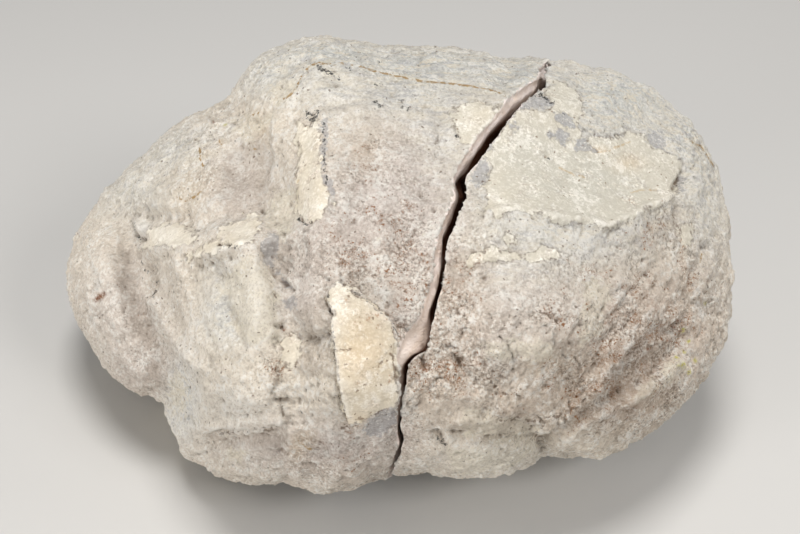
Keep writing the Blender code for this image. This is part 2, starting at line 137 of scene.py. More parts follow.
def nearest_run(across, up, runs, thickness={}):
    """The distance to whichever of several named runs is nearest, less its own thickness if it has one."""
    least = np.full(across.shape, REACH)
    for name, points in runs.items():
        touched = near_marking(across, up, points)
        away = run_distance(across[touched], up[touched], points) - thickness.get(name, 0.0)
        least[touched] = np.minimum(least[touched], away)
    return least


def spot_weight(across, up, spots):
    """1 in the middle of small round spots, 0 away from them."""
    weight = np.zeros(across.shape)
    for a, u, radius in spots:
        weight = np.maximum(weight, smooth(1.4 - np.hypot(across - a, up - u) / radius))
    return weight


def zone_weight(across, up, zones):
    """Soft oval zones: 1 in the middle of one, 0 away from all of them."""
    left_out = np.ones(across.shape)
    for a, u, reach_across, reach_up, weight in zones:
        far = ((across - a) / reach_across) ** 2 + ((up - u) / reach_up) ** 2
        left_out *= 1.0 - weight * np.exp(-far)
    return 1.0 - left_out

# %% [markdown]
# ## The markings
# Clay, thin film, bare grey quartz and darker bands are drawn as outlines. Cracks, swellings, ore, stains
# and hairlines are runs of points, and broad changes of colour are soft ovals. All of them are (across, up)
# in millimetres on the sight sheet, with only the points that the shape needs.

# %% Outlines of dried clay
CLAY_PATCHES = {
    "plate": [
        (-16.8, -7.0), (-15.9, -5.2), (-14.3, -3.2), (-12.9, -4.5), (-11.3, -5.2), (-10.0, -4.8),
        (-9.3, -6.8), (-7.7, -7.5), (-6.4, -8.4), (-4.5, -10.0), (-2.7, -11.1), (-1.6, -12.9),
        (-0.9, -15.0), (-0.7, -18.8), (-0.7, -22.2), (-0.5, -25.7), (-0.2, -28.4), (-0.7, -30.6),
        (-2.7, -32.0), (-6.4, -33.8), (-9.1, -35.0), (-11.3, -35.9), (-12.5, -34.7), (-12.9, -32.5),
        (-13.6, -30.2), (-14.1, -26.8), (-14.5, -23.4), (-15.0, -19.3), (-15.4, -15.4), (-15.4, -12.5),
        (-15.0, -11.1), (-16.1, -9.3)],
    "by_crack": [
        (11.1, 34.7), (12.5, 35.2), (14.1, 36.3), (15.4, 37.0), (18.2, 37.2), (20.0, 37.0), (21.3, 36.3),
        (22.9, 36.5), (23.4, 35.4), (22.0, 34.3), (21.3, 32.5), (19.3, 30.2), (17.3, 28.4), (16.8, 27.5),
        (14.5, 27.9), (13.2, 29.1), (12.5, 30.6), (12.5, 32.2)],
    "strip": [
        (-23.4, 32.2), (-22.2, 33.4), (-20.7, 31.3), (-18.6, 33.1), (-17.9, 30.0), (-17.9, 24.3),
        (-17.7, 19.7), (-16.3, 18.4), (-15.7, 16.1), (-15.2, 14.5), (-16.3, 13.4), (-17.7, 12.5),
        (-18.2, 10.9), (-20.0, 10.4), (-22.0, 10.9), (-23.4, 12.5), (-23.2, 15.2), (-22.9, 17.5),
        (-23.4, 20.9), (-22.7, 24.3), (-23.2, 27.7)],
    "flat_left": [
        (-58.6, 4.1), (-58.8, 5.4), (-57.2, 6.6), (-57.2, 7.9), (-56.3, 9.3), (-54.9, 9.8),
        (-52.9, 10.0), (-50.4, 9.8), (-49.0, 8.9), (-46.8, 8.6), (-46.3, 7.5), (-46.5, 6.4),
        (-47.9, 5.7), (-49.3, 4.8), (-50.8, 4.1), (-53.1, 4.5), (-55.4, 4.8), (-56.8, 4.3)],
    "flat_mid": [
        (-40.4, 8.9), (-39.3, 10.0), (-37.7, 10.2), (-35.9, 11.3), (-34.5, 12.0), (-32.9, 12.3),
        (-31.8, 11.3), (-31.8, 9.5), (-32.5, 7.7), (-33.6, 5.9), (-35.6, 5.2), (-36.8, 4.1),
        (-38.1, 3.4), (-40.4, 3.9), (-42.7, 2.7), (-45.4, 2.3), (-47.7, 2.0), (-48.4, 2.5), (-46.3, 4.1),
        (-44.0, 5.4), (-41.8, 6.1), (-40.4, 7.0)],
    "small_flat": [
        (-26.8, -17.9), (-26.3, -15.9), (-25.0, -15.2), (-23.4, -15.2), (-22.5, -17.3), (-22.5, -19.5),
        (-23.2, -21.6), (-25.0, -22.5), (-26.6, -21.3)],
    "ragged_low": [
        (15.2, 0.9), (16.3, 2.5), (17.3, 4.3), (18.4, 4.5), (19.5, 3.2), (20.7, 4.3), (22.7, 3.9),
        (24.5, 3.4), (26.8, 2.5), (29.3, 2.5), (30.6, 3.6), (31.6, 5.0), (33.6, 5.4), (35.4, 4.5),
        (36.8, 3.0), (38.1, 1.6), (37.5, 0.7), (35.4, 1.4), (33.1, 1.8), (30.9, 0.7), (28.1, 1.4),
        (25.0, 1.1), (22.2, 1.4), (20.0, 1.6), (18.2, 0.9), (16.8, 0.0)],
    "ragged_high": [
        (23.4, 6.1), (24.1, 7.3), (25.9, 7.0), (27.2, 6.4), (26.1, 5.4), (24.5, 5.0)],
    "right_spot": [
        (63.8, 9.3), (65.1, 10.2), (66.5, 9.8), (66.3, 7.0), (65.4, 4.8), (64.2, 5.2), (63.6, 7.3)],
    "dish": [
        (33.4, 40.9), (35.4, 41.8), (37.7, 41.1), (39.7, 40.2), (40.9, 38.8), (40.9, 36.5), (41.3, 34.7),
        (40.4, 32.9), (41.3, 30.6), (41.1, 28.8), (42.4, 28.6), (43.8, 29.3), (46.1, 29.5), (48.4, 29.3),
        (50.4, 29.5), (51.5, 30.4), (53.6, 30.2), (55.6, 29.3), (56.3, 28.1), (58.1, 27.2), (60.4, 26.3),
        (62.9, 25.4), (63.8, 23.8), (64.0, 21.1), (62.9, 19.3), (62.2, 18.2), (62.9, 17.0), (61.7, 15.7),
        (59.5, 14.5), (57.2, 13.6), (55.4, 12.7), (53.6, 12.0), (52.2, 10.9), (50.8, 10.2), (49.5, 10.2),
        (49.0, 8.9), (46.5, 8.6), (44.9, 9.5), (43.1, 10.4), (40.9, 10.2), (38.6, 9.3), (36.8, 9.5),
        (35.2, 10.4), (32.9, 11.3), (30.9, 12.0), (28.6, 12.9), (25.9, 12.7), (23.4, 11.6), (21.1, 11.6),
        (19.3, 13.4), (20.0, 15.9), (19.1, 18.2), (20.0, 20.7), (20.4, 22.9), (19.5, 24.5), (18.2, 25.0),
        (19.5, 26.6), (20.4, 28.4), (21.6, 29.7), (23.8, 31.6), (24.5, 32.9), (25.9, 35.0), (26.8, 36.1),
        (29.5, 35.6), (32.5, 35.4), (34.5, 36.1), (34.7, 37.9), (33.1, 39.3)],
}  # fmt: skip
print(len(CLAY_PATCHES), "clay patches")

# %% Outlines of thin clay film
FILM_PATCHES = {
    "low_left_tip": [
        (-52.2, -24.7), (-49.5, -24.3), (-48.1, -28.4), (-49.5, -32.5), (-51.8, -31.1)],
    "bottom_lobe": [
        (10.9, -42.2), (12.7, -40.9), (15.9, -41.3), (18.6, -41.8), (22.7, -41.3), (26.8, -40.4),
        (30.4, -39.5), (31.8, -40.0), (30.9, -42.0), (28.1, -43.8), (24.5, -45.6), (20.4, -46.5),
        (15.9, -47.0), (12.3, -46.3), (10.7, -44.7), (11.3, -43.6)],
    "bottom_band": [
        (13.6, -32.9), (15.9, -31.6), (19.5, -32.5), (22.7, -33.4), (26.3, -34.1), (29.5, -35.0),
        (31.3, -36.3), (30.4, -38.4), (27.2, -39.5), (23.6, -40.4), (20.4, -39.7), (18.2, -38.4),
        (15.4, -38.4), (13.6, -36.5)],
    "right_low": [
        (19.1, -17.3), (22.7, -16.1), (27.2, -17.0), (31.8, -16.6), (35.4, -17.5), (35.4, -20.0),
        (31.8, -21.3), (27.2, -20.9), (23.2, -21.6), (19.7, -20.2)],
    "right_face": [
        (41.5, -3.4), (43.6, -3.0), (46.3, -3.4), (48.1, -4.3), (47.7, -6.1), (48.4, -7.5), (46.8, -8.6),
        (46.1, -10.9), (45.4, -13.2), (45.4, -15.4), (43.6, -16.6), (41.8, -17.7), (40.2, -16.1),
        (40.9, -13.2), (41.3, -9.8), (41.3, -6.4)],
    "rim_low": [
        (59.5, -23.8), (60.8, -21.6), (62.7, -20.2), (64.5, -21.6), (64.0, -23.8), (62.2, -25.7),
        (59.9, -26.6)],
    "rim_lowest": [
        (54.5, -26.6), (57.2, -25.2), (59.5, -27.5), (56.8, -29.3), (54.5, -30.6), (52.2, -30.2)],
    "under_block": [
        (-40.4, -42.0), (-38.6, -41.1), (-36.3, -41.3), (-35.0, -42.4), (-36.3, -43.8), (-38.6, -43.6)],
    "upper_left": [
        (-37.2, 32.9), (-34.5, 34.3), (-31.3, 33.8), (-29.5, 35.2), (-28.1, 33.8), (-29.5, 32.0),
        (-31.8, 31.1), (-32.7, 29.3), (-34.1, 27.5), (-35.4, 28.8), (-36.8, 30.2), (-38.1, 31.1)],
    "block_right": [
        (-37.2, 0.7), (-35.0, 2.3), (-32.7, 1.8), (-30.9, 0.7), (-29.3, -1.1), (-27.9, -3.6),
        (-27.5, -6.1), (-27.9, -8.6), (-28.4, -11.6), (-27.7, -14.3), (-27.2, -16.8), (-29.5, -17.5),
        (-32.2, -17.9), (-34.1, -16.8), (-35.9, -17.0), (-37.2, -14.8), (-38.4, -11.6), (-39.0, -8.6),
        (-39.7, -5.7), (-39.5, -2.0)],
    "nose_top": [
        (-30.0, 41.3), (-27.2, 42.7), (-24.5, 42.4), (-23.4, 40.6), (-25.0, 38.8), (-26.6, 37.9),
        (-27.5, 36.3), (-28.8, 37.5), (-29.7, 39.0)],
    "strip_foot": [
        (-29.5, 14.1), (-28.1, 17.0), (-25.4, 17.9), (-23.2, 17.5), (-22.7, 15.2), (-22.7, 11.1),
        (-23.6, 9.3), (-25.0, 7.0), (-26.8, 6.6), (-28.1, 7.9), (-30.0, 8.4), (-31.1, 10.2),
        (-30.9, 12.0)],
}  # fmt: skip
print(len(FILM_PATCHES), "patches of film")

# %% Outlines of bare grey quartz
BARE_PATCHES = {
    "by_top": [
        (30.2, 39.5), (32.0, 39.5), (33.8, 38.1), (34.7, 37.0), (33.6, 36.1), (30.6, 35.9), (27.2, 36.5),
        (27.9, 37.7), (29.5, 38.6)],
    "small_left": [
        (24.7, 32.7), (26.1, 32.9), (27.5, 32.5), (27.2, 31.1), (25.9, 30.6), (24.5, 31.6)],
    "speckled": [
        (35.4, 35.2), (37.7, 34.7), (39.7, 33.4), (39.5, 31.6), (37.7, 32.0), (35.9, 32.9), (34.5, 33.8)],
    "lens": [
        (33.1, 30.0), (34.5, 30.9), (36.3, 31.1), (38.1, 30.2), (38.1, 28.4), (37.2, 27.7), (35.4, 28.1)],
    "hook": [
        (39.0, 28.4), (40.4, 28.8), (42.2, 28.8), (42.7, 28.1), (42.0, 27.5), (43.6, 27.5), (44.7, 26.1),
        (43.1, 25.4), (41.3, 25.9), (39.7, 26.8)],
    "lip_high": [
        (19.7, 28.4), (21.3, 28.6), (21.6, 27.2), (20.4, 26.1), (19.5, 26.6)],
    "lip_low": [
        (17.7, 24.3), (19.1, 24.5), (20.4, 23.2), (20.0, 20.7), (19.3, 18.6), (17.9, 18.4), (16.3, 19.7),
        (16.8, 22.5)],
    "rim_high": [
        (55.2, 29.5), (57.7, 30.9), (59.9, 29.7), (60.4, 27.2), (58.3, 27.0), (56.3, 27.9)],
    "rim_notch": [
        (62.4, 19.7), (64.0, 21.1), (65.4, 20.2), (64.5, 17.9), (63.3, 16.6), (62.7, 17.7)],
    "nose_band": [
        (-17.7, 33.8), (-16.3, 33.8), (-16.2, 31.0), (-16.7, 28.0), (-16.9, 24.3), (-16.7, 20.7),
        (-15.4, 18.4), (-14.8, 16.6), (-15.9, 17.2), (-17.3, 18.8), (-17.8, 21.6), (-17.9, 28.8)],
    "niche_low": [
        (-31.1, 6.1), (-29.5, 7.5), (-27.7, 7.5), (-27.2, 6.1), (-28.1, 3.9), (-27.2, 1.1), (-28.6, 1.1),
        (-30.4, 2.5), (-31.6, 4.8)],
    "nose_foot": [
        (-31.3, 3.9), (-29.1, 2.0), (-26.8, -2.0), (-24.1, -4.8), (-25.9, -4.3), (-28.6, -0.7),
        (-30.9, 1.1)],
    "saddle": [
        (-26.6, -7.5), (-24.5, -7.0), (-23.2, -8.4), (-24.5, -10.2), (-26.3, -9.3)],
    "dark_foot": [
        (-7.3, -34.3), (-4.5, -32.9), (-0.9, -32.0), (-0.5, -34.7), (-2.3, -37.0), (-4.5, -38.4),
        (-6.8, -38.8), (-8.2, -37.0)],
}  # fmt: skip
print(len(BARE_PATCHES), "bare patches")

# %% Outlines of bands of painted shade, and small spots of colour
SHADED_PATCHES = {
    "niche": [
        (-39.5, 26.3), (-36.1, 28.6), (-31.3, 29.5), (-29.3, 26.6), (-28.8, 23.2), (-29.1, 18.6),
        (-30.2, 13.8), (-34.1, 12.9), (-38.4, 11.8), (-40.4, 12.7), (-41.3, 17.7), (-40.4, 22.0)],
    "lobe_groove": [
        (-65.1, 5.7), (-64.0, 0.2), (-63.6, -5.2), (-62.9, -10.7), (-61.1, -16.1), (-57.7, -20.7),
        (-54.9, -27.0), (-53.1, -27.5), (-53.8, -21.6), (-55.2, -16.1), (-57.0, -10.2), (-58.8, -4.8),
        (-59.7, 0.7), (-61.5, 5.2), (-63.1, 7.0)],
    "under_block": [
        (-42.2, -37.9), (-36.3, -37.5), (-31.3, -37.0), (-26.3, -36.1), (-25.0, -38.4), (-26.3, -42.0),
        (-31.3, -41.5), (-36.8, -41.1), (-40.4, -40.2)],
    "plate_hollow": [
        (-24.7, -7.9), (-21.6, -6.8), (-18.2, -7.5), (-16.3, -10.2), (-15.7, -16.6), (-15.9, -22.5),
        (-18.6, -23.8), (-22.7, -24.7), (-25.0, -22.0), (-22.7, -20.2), (-22.0, -16.6), (-23.2, -13.2),
        (-25.0, -10.2)],
    "fold_shade": [
        (31.8, -35.9), (36.3, -32.5), (40.9, -28.4), (45.4, -23.8), (49.5, -19.3), (54.5, -15.4),
        (59.0, -12.5), (60.8, -14.3), (57.9, -18.8), (54.5, -22.9), (49.9, -27.5), (45.4, -31.3),
        (39.7, -35.9), (35.2, -38.4)],
    "fold_foot": [
        (45.4, -27.0), (50.4, -22.9), (56.8, -20.4), (59.5, -24.5), (57.0, -30.2), (50.4, -35.0),
        (44.9, -36.8), (42.2, -33.6)],
    "lobe_top": [
        (12.7, -36.1), (18.2, -33.8), (24.5, -32.7), (30.4, -33.8), (31.8, -36.1), (27.2, -37.7),
        (19.5, -38.1), (14.1, -38.1)],
    "dish_under": [
        (52.7, 7.9), (56.3, 9.8), (59.9, 12.5), (62.7, 13.8), (64.0, 10.2), (60.8, 6.1), (56.8, 3.9),
        (53.1, 3.9), (51.3, 5.7)],
    "foot_shade": [
        (-22.7, -39.3), (-18.6, -37.9), (-13.6, -36.5), (-10.9, -39.3), (-12.5, -42.7), (-16.8, -44.3),
        (-21.3, -43.8)],
}  # fmt: skip
YELLOW_SPOTS = [  # across, up, radius in mm
    (64.2, -22.2, 0.73), (62.7, -20.7, 0.45), (65.8, -23.8, 0.54), (64.5, -19.3, 0.36),
    (67.0, -21.1, 0.41), (64.2, -14.3, 0.41), (69.2, -8.2, 0.36), (65.6, -16.8, 0.3), (5.4, 7.7, 0.32),
    (-4.5, 6.4, 0.23), (-39.5, 32.2, 0.36),
]
RED_SPOTS = [
    (-68.1, -6.8, 0.77), (-68.8, -7.5, 0.54), (-67.2, -6.1, 0.45), (61.7, -13.4, 0.54),
    (62.9, -12.3, 0.5), (-26.3, -14.3, 0.41), (2.5, -17.3, 0.3), (-10.0, -10.4, 0.25),
    (-42.4, 32.9, 0.36), (61.1, -16.6, 0.27), (56.3, -18.6, 0.3), (-1.1, -7.9, 0.25),
    (9.3, -2.3, 0.32), (5.4, -23.1, 0.6),
]
# Soft pale zones: partly the stone's own pale tone, and partly painted light on faces turned down and away
# from the lamps.
PALE_AND_LIT_ZONES = [
    (-58.4, 9.0, 1.8, 2.2, 0.9),
    (-51.8, 7.0, 5.4, 2.6, 0.7), (-36.5, 8.6, 4.0, 2.2, 0.4), (-37.0, -32.0, 8.5, 4.5, 0.5),
    (-32.7, -7.5, 4.1, 7.7, 0.8), (20.4, -43.8, 9.1, 3.2, 0.7), (-49.9, -30.2, 3.6, 8.0, 1.0),
    (43.1, 5.4, 7.7, 3.2, 0.9),
]
GOLD_ZONES = [
    (-7.3, 25.4, 4.5, 5.4, 0.45), (-10.0, -18.8, 5.0, 10.2, 0.7), (-5.0, -20.0, 5.0, 9.0, 0.5),
    (-32.9, 32.9, 2.3, 2.7, 0.55), (-40.4, 28.1, 0.9, 1.4, 0.7), (-43.8, 25.9, 1.4, 1.6, 0.6),
    (-47.0, 20.0, 5.5, 6.0, 0.4), (51.8, 23.6, 3.6, 2.0, 0.45), (45.2, 26.6, 2.0, 0.9, 0.5),
    (67.6, 27.0, 1.8, 2.0, 0.45), (-23.6, -41.1, 2.3, 3.2, 0.8), (-21.0, -39.0, 2.5, 2.3, 0.7),
    (-30.9, 30.9, 1.1, 1.8, 0.5),
    (32.9, -22.2, 5.0, 3.2, 0.35), (57.9, 8.9, 2.3, 1.1, 0.5), (-39.7, -20.0, 3.2, 2.7, 0.25),
    (-10.0, -34.7, 2.7, 1.8, 0.5),
]
print(len(SHADED_PATCHES), "darker bands")

# %% Cracks and folds
GROOVES = {
    "black_crack": [(-41.3, 5.2), (-40.0, 5.0), (-39.0, 5.2), (-38.1, 4.5), (-37.2, 4.8)],
    "block_underline": [
        (-42.2, -37.9), (-39.5, -37.5), (-36.3, -37.2), (-33.1, -37.0), (-30.4, -36.8), (-28.1, -36.5),
        (-26.3, -36.3)],
    "niche_line": [(-34.7, 12.9), (-32.9, 12.7), (-31.3, 12.7), (-30.0, 13.4)],
    "block_side": [
        (-28.1, -5.7), (-28.6, -7.5), (-28.8, -10.2), (-28.4, -12.5), (-27.7, -14.8), (-27.5, -17.5)],
    "block_foot": [(-27.0, -31.6), (-26.3, -33.4), (-26.3, -35.6)],
    "lobe_crack": [(-63.3, -7.9), (-62.7, -10.2), (-62.2, -12.5)],
    "hollow_rim": [(-60.6, 10.2), (-60.2, 7.9), (-59.2, 6.6), (-57.7, 6.1)],
    "plate_left": [
        (-16.8, -7.0), (-16.1, -9.3), (-15.2, -11.1), (-15.4, -12.5), (-15.4, -15.4), (-15.0, -19.3),
        (-14.5, -23.4), (-14.1, -26.8), (-13.6, -30.2), (-12.7, -32.9), (-12.0, -35.0)],
    "plate_inner": [(-1.8, -17.5), (-2.0, -19.3), (-1.8, -21.6), (-1.4, -23.8), (-0.7, -26.1)],
    "plate_right": [
        (-8.9, -7.7), (-7.7, -7.7), (-6.4, -8.6), (-4.5, -10.2), (-2.7, -11.3), (-1.6, -13.2),
        (-0.9, -15.0)],
    "fold_low": [
        (31.8, -40.6), (33.1, -38.8), (35.4, -37.9), (37.7, -36.5), (40.0, -34.7), (42.2, -32.5),
        (44.9, -30.6), (48.1, -29.7)],
    "fold_mid": [
        (19.5, -32.9), (23.8, -34.7), (27.7, -35.6), (31.8, -35.2), (35.4, -33.6), (38.1, -31.3),
        (40.9, -28.4), (43.6, -25.2), (45.4, -21.6)],
    "fold_high": [(45.4, -17.0), (47.2, -15.2), (49.0, -12.5), (50.4, -8.9)],
    "fold_right": [
        (48.1, -29.3), (52.2, -27.5), (55.8, -24.3), (59.0, -21.6), (61.7, -18.8), (63.6, -16.1)],
    "lobe_line": [(5.4, -37.5), (9.1, -37.9), (13.2, -38.1), (16.3, -37.7)],
    "foot_line": [(-0.9, -37.5), (0.0, -39.3), (-0.5, -41.1), (-1.4, -43.4), (-2.3, -45.6)],
    "notch_line": [(44.5, 25.9), (45.4, 25.9), (43.6, 27.5)],
}  # fmt: skip
GROOVE_SIZES = {  # half width and depth in mm, where they aren't the usual ones
    "black_crack": (0.6, 1.2), "block_underline": (0.9, 2.6), "plate_left": (0.9, 1.3),
    "plate_right": (0.7, 0.8),
    "fold_low": (1.6, 0.9), "fold_mid": (2.4, 0.6), "fold_high": (1.6, 0.5), "fold_right": (2.0, 0.6),
    "lobe_line": (1.2, 0.4), "hollow_rim": (0.7, 0.9),
}
print(len(GROOVES), "grooves")

# %% Small swellings and hollows
SWELLS = {  # points along it, half width and height in mm
    "niche_flank": ([(-30.0, 35.2), (-30.6, 28.8), (-31.1, 20.9), (-31.3, 14.1)], 2.4, -1.3),
    "niche_floor": (
        [(-56.8, 11.3), (-51.1, 11.6), (-46.3, 10.2), (-39.5, 12.5), (-32.7, 13.8)], 3.2, -1.4),
    "pocket": ([(-57.2, -0.2), (-56.5, -3.0), (-56.3, -5.7)], 2.3, -2.2),
    "pocket_rim": ([(-54.5, 0.2), (-53.8, -3.9), (-54.5, -7.5)], 1.8, 0.9),
    "pale_knob": ([(-59.0, 9.8), (-57.9, 8.4)], 2.4, 1.4),
    "diagonal_valley": ([(-31.3, 3.9), (-29.5, 0.7), (-27.2, -3.0), (-24.1, -5.2)], 1.6, -0.8),
    "saddle_lump": ([(-20.0, -8.9), (-18.6, -11.6)], 4.5, 1.4),
    "saddle_foot": ([(-22.7, -16.1), (-19.5, -16.6), (-16.3, -15.2)], 2.0, -1.2),
    "block_ridge": ([(-55.4, -7.0), (-52.7, -12.0), (-49.5, -17.5), (-45.4, -22.5)], 2.2, 1.5),
    "block_valley": ([(-53.6, -17.9), (-50.4, -24.3), (-48.1, -30.6)], 2.4, -0.4),
    "block_seam": ([(-40.6, -2.0), (-39.5, -7.5), (-37.7, -13.4), (-35.0, -17.9)], 1.9, -0.9),
    "block_face": ([(-32.7, -0.7), (-32.2, -7.5), (-32.2, -14.3)], 5.0, 1.0),
    "block_lip": ([(-42.2, -35.9), (-36.3, -35.4), (-30.9, -35.0), (-27.2, -34.5)], 1.9, 1.4),
    "block_under": ([(-42.7, -39.3), (-36.3, -39.0), (-30.9, -38.6), (-26.3, -37.9)], 2.2, -1.4),
    "foot_ridge": ([(-25.0, -37.5), (-24.1, -41.5), (-22.7, -45.6)], 3.0, 1.2),
    "foot_lump": ([(-14.1, -40.6), (-11.3, -41.5)], 3.5, 1.2),
    "foot_lump_low": ([(-11.3, -46.1), (-9.1, -47.0)], 2.6, 0.9),
    "lip_notch": ([(4.8, -19.7), (5.7, -22.9)], 1.3, -1.7),
    "diagonal_crack": ([(10.0, -17.5), (13.2, -21.6), (16.8, -25.7), (21.8, -28.8)], 1.0, -0.3),
    "diagonal_bank": ([(11.8, -16.6), (15.4, -20.7), (19.5, -24.7)], 2.0, 0.8),
    "plate_terrace": ([(-10.0, -15.0), (-7.7, -15.4), (-5.7, -17.1), (-3.9, -19.7)], 0.8, 0.35),
    "dish_rim": (
        [(20.4, 12.0), (27.2, 13.2), (33.6, 11.6), (40.9, 10.4), (46.8, 9.3), (54.5, 12.7), (60.8, 15.7)],
        1.8, 0.9),
    "dish_notch": ([(62.9, 17.9), (64.2, 20.2)], 2.0, -2.1),
    "dish_bump": ([(66.3, 20.7), (67.4, 17.9)], 2.4, 1.2),
    "side_crease": ([(69.0, 4.3), (67.9, 1.1), (66.3, -3.4), (64.9, -8.4)], 1.8, -1.0),
    "side_rib": ([(70.8, 4.8), (69.9, -0.7), (68.1, -6.6)], 2.2, 0.9),
    "lobe_crease": ([(8.2, -37.9), (15.9, -38.6), (23.8, -39.5), (32.9, -38.8)], 1.7, -1.0),
    "lobe_bank": ([(13.6, -34.7), (20.4, -35.2), (27.2, -36.5)], 3.0, 0.9),
    "fold_bank": ([(36.3, -39.3), (43.1, -34.3), (50.4, -30.6), (57.2, -26.6), (62.7, -21.6)], 2.6, 1.2),
    "fold_bank_high": ([(31.8, -36.5), (37.7, -32.9), (43.1, -27.5), (46.8, -21.6)], 2.4, 1.2),
    "fold_bank_top": ([(48.1, -18.8), (53.1, -14.3), (56.3, -8.9)], 3.0, 0.9),
    "red_pit": ([(61.5, -14.3), (62.7, -12.5)], 1.4, -1.5),
    "lobe_dent": ([(-62.7, 3.9), (-61.7, -3.0), (-59.5, -9.8), (-56.3, -16.6)], 3.4, -0.9),
    "lobe_knob": ([(-57.7, -17.9), (-56.8, -19.3)], 2.8, 1.0),
    "upper_slope_edge": ([(-60.8, 12.5), (-57.7, 15.2), (-54.5, 17.9)], 1.8, 0.9),
    "ledge_left": ([(-58.6, 4.3), (-54.5, 3.9), (-49.0, 4.3)], 1.8, 0.9),
    "ledge_mid": ([(-45.4, 2.0), (-40.4, 3.4), (-35.4, 4.8)], 1.8, 0.9),
    "nose_low_edge": ([(-29.5, 6.1), (-25.0, 6.1), (-21.3, 9.3)], 2.2, 0.9),
}  # fmt: skip
print(len(SWELLS), "swellings and hollows")

# %% Ore and stains
DARK_RUNS = {
    "plate_left": [(-16.3, -6.6), (-15.9, -9.3), (-15.2, -12.0), (-15.0, -17.0), (-14.8, -21.6)],
    "plate_top": [(-13.8, -3.6), (-10.2, -5.9), (-6.8, -7.9), (-3.6, -10.4), (-1.8, -12.5), (-0.7, -15.2)],
    "plate_foot": [(-14.3, -27.5), (-13.4, -30.6), (-12.5, -33.4)],
    "strip_side": [(-17.5, 33.4), (-17.3, 28.0), (-17.2, 22.5), (-16.7, 18.8)],
    "nose_line": [(-18.6, 45.6), (-17.5, 44.7), (-16.3, 44.3), (-15.2, 43.6), (-13.8, 42.9)],
    "nose_high": [(-12.0, 45.2), (-10.9, 44.9)],
    "nose_low": [(-21.3, 35.2), (-20.0, 34.7), (-18.6, 35.2)],
    "nose_lowest": [(-20.9, 33.8), (-19.7, 33.4), (-18.6, 34.1)],
    "streak_high": [(-5.0, 46.8), (-4.1, 46.5)],
    "streak_mid": [(-5.9, 41.5), (-4.3, 41.3)],
    "cluster_mid": [(-5.9, 37.5), (-4.8, 37.0), (-4.1, 36.3)],
    "cluster_right": [(0.0, 35.6), (0.7, 36.5), (1.8, 35.9)],
    "cluster_dot": [(0.5, 37.7), (0.9, 37.2)],
    "crack_top": [(30.4, 39.0), (31.8, 39.3), (32.9, 38.4), (33.8, 37.7), (34.7, 37.0)],
    "dish_dash": [(36.5, 35.2), (37.2, 34.5)],
    "dish_dot": [(32.9, 25.0), (33.8, 24.5)],
    "ledge_dash": [(34.1, 10.4), (35.4, 10.2)],
    "pocket_high": [(-58.6, 1.1), (-57.7, -0.9), (-56.3, -1.8)],
    "pocket_low": [(-55.2, -3.2), (-55.4, -5.2), (-55.8, -6.6), (-57.7, -6.6)],
    "hollow_edge": [(-60.4, 10.2), (-59.9, 7.7), (-59.0, 6.4)],
    "block_dash": [(-41.3, 5.2), (-39.5, 5.0), (-37.2, 4.5)],
    "saddle_spot": [(-27.0, -13.4), (-26.6, -13.8)],
    "strip_foot_spot": [(-22.9, 10.7), (-21.8, 9.8), (-20.4, 10.0)],
    "foot_dark": [(8.6, -38.8), (9.5, -39.5), (10.4, -40.2)],
    "red_dark": [(61.3, -14.8), (62.0, -13.2), (63.3, -12.3)],
    "lip_dash": [(12.3, 30.6), (13.2, 29.1)],
    "foot_hook": [(-22.5, -32.0), (-22.0, -33.6)],
    "notch_shade": [(62.7, 17.9), (64.0, 19.3)],
    "right_dot": [(63.8, -7.3), (64.2, -7.0)],
    "right_dash": [(68.6, -5.7), (68.3, -6.1)],
}  # fmt: skip
FINE_LINES = {  # hairline cracks
    "plate_curl": [(-10.2, -29.5), (-8.9, -27.5), (-7.8, -26.8), (-7.5, -25.7)],
    "plate_snake": [(-3.7, -19.7), (-3.7, -21.3), (-4.8, -22.5), (-7.1, -23.1), (-7.8, -24.5)],
    "plate_hook": [(-4.8, -24.2), (-4.7, -25.7), (-5.7, -26.5)],
    "plate_tick": [(-14.5, -18.8), (-10.7, -19.0)],
    "plate_tick_low": [(-15.0, -21.1), (-11.9, -22.0)],
    "plate_tick_high": [(-15.2, -14.0), (-14.2, -13.4)],
    "plate_flake": [(-11.9, -34.2), (-10.2, -33.9), (-8.5, -33.0)],
    "plate_hem": [(-15.4, -37.0), (-11.5, -36.2), (-8.6, -34.7), (-4.5, -32.7), (-0.7, -31.8)],
    "plate_gap": [(-2.3, -16.0), (-2.0, -19.7), (-1.6, -21.7), (-1.1, -25.1)],
    "block_under": [(-41.3, -37.7), (-36.3, -37.2), (-31.8, -37.0), (-28.1, -36.5)],
    "block_end": [(-27.2, -29.1), (-26.8, -31.5), (-26.6, -33.8)],
    "block_crack": [(-28.1, -5.7), (-28.6, -8.5), (-28.6, -11.1)],
    "saddle_hook": [(-28.1, -18.4), (-27.7, -19.7), (-27.2, -21.1)],
    "lobe_diagonal": [(12.0, -19.5), (18.2, -23.6), (22.9, -28.4), (28.4, -29.7)],
    "lobe_brow": [(29.1, -10.0), (33.1, -10.4), (36.5, -13.4)],
    "lobe_foot": [(22.2, -34.9), (27.0, -34.3), (32.5, -35.2), (38.6, -31.8)],
    "fold_foot": [(29.7, -39.3), (33.1, -35.2), (40.0, -31.8), (44.0, -28.4), (47.2, -24.3)],
    "fold_line": [(44.0, -21.1), (48.6, -15.4), (52.2, -12.3)],
}  # fmt: skip
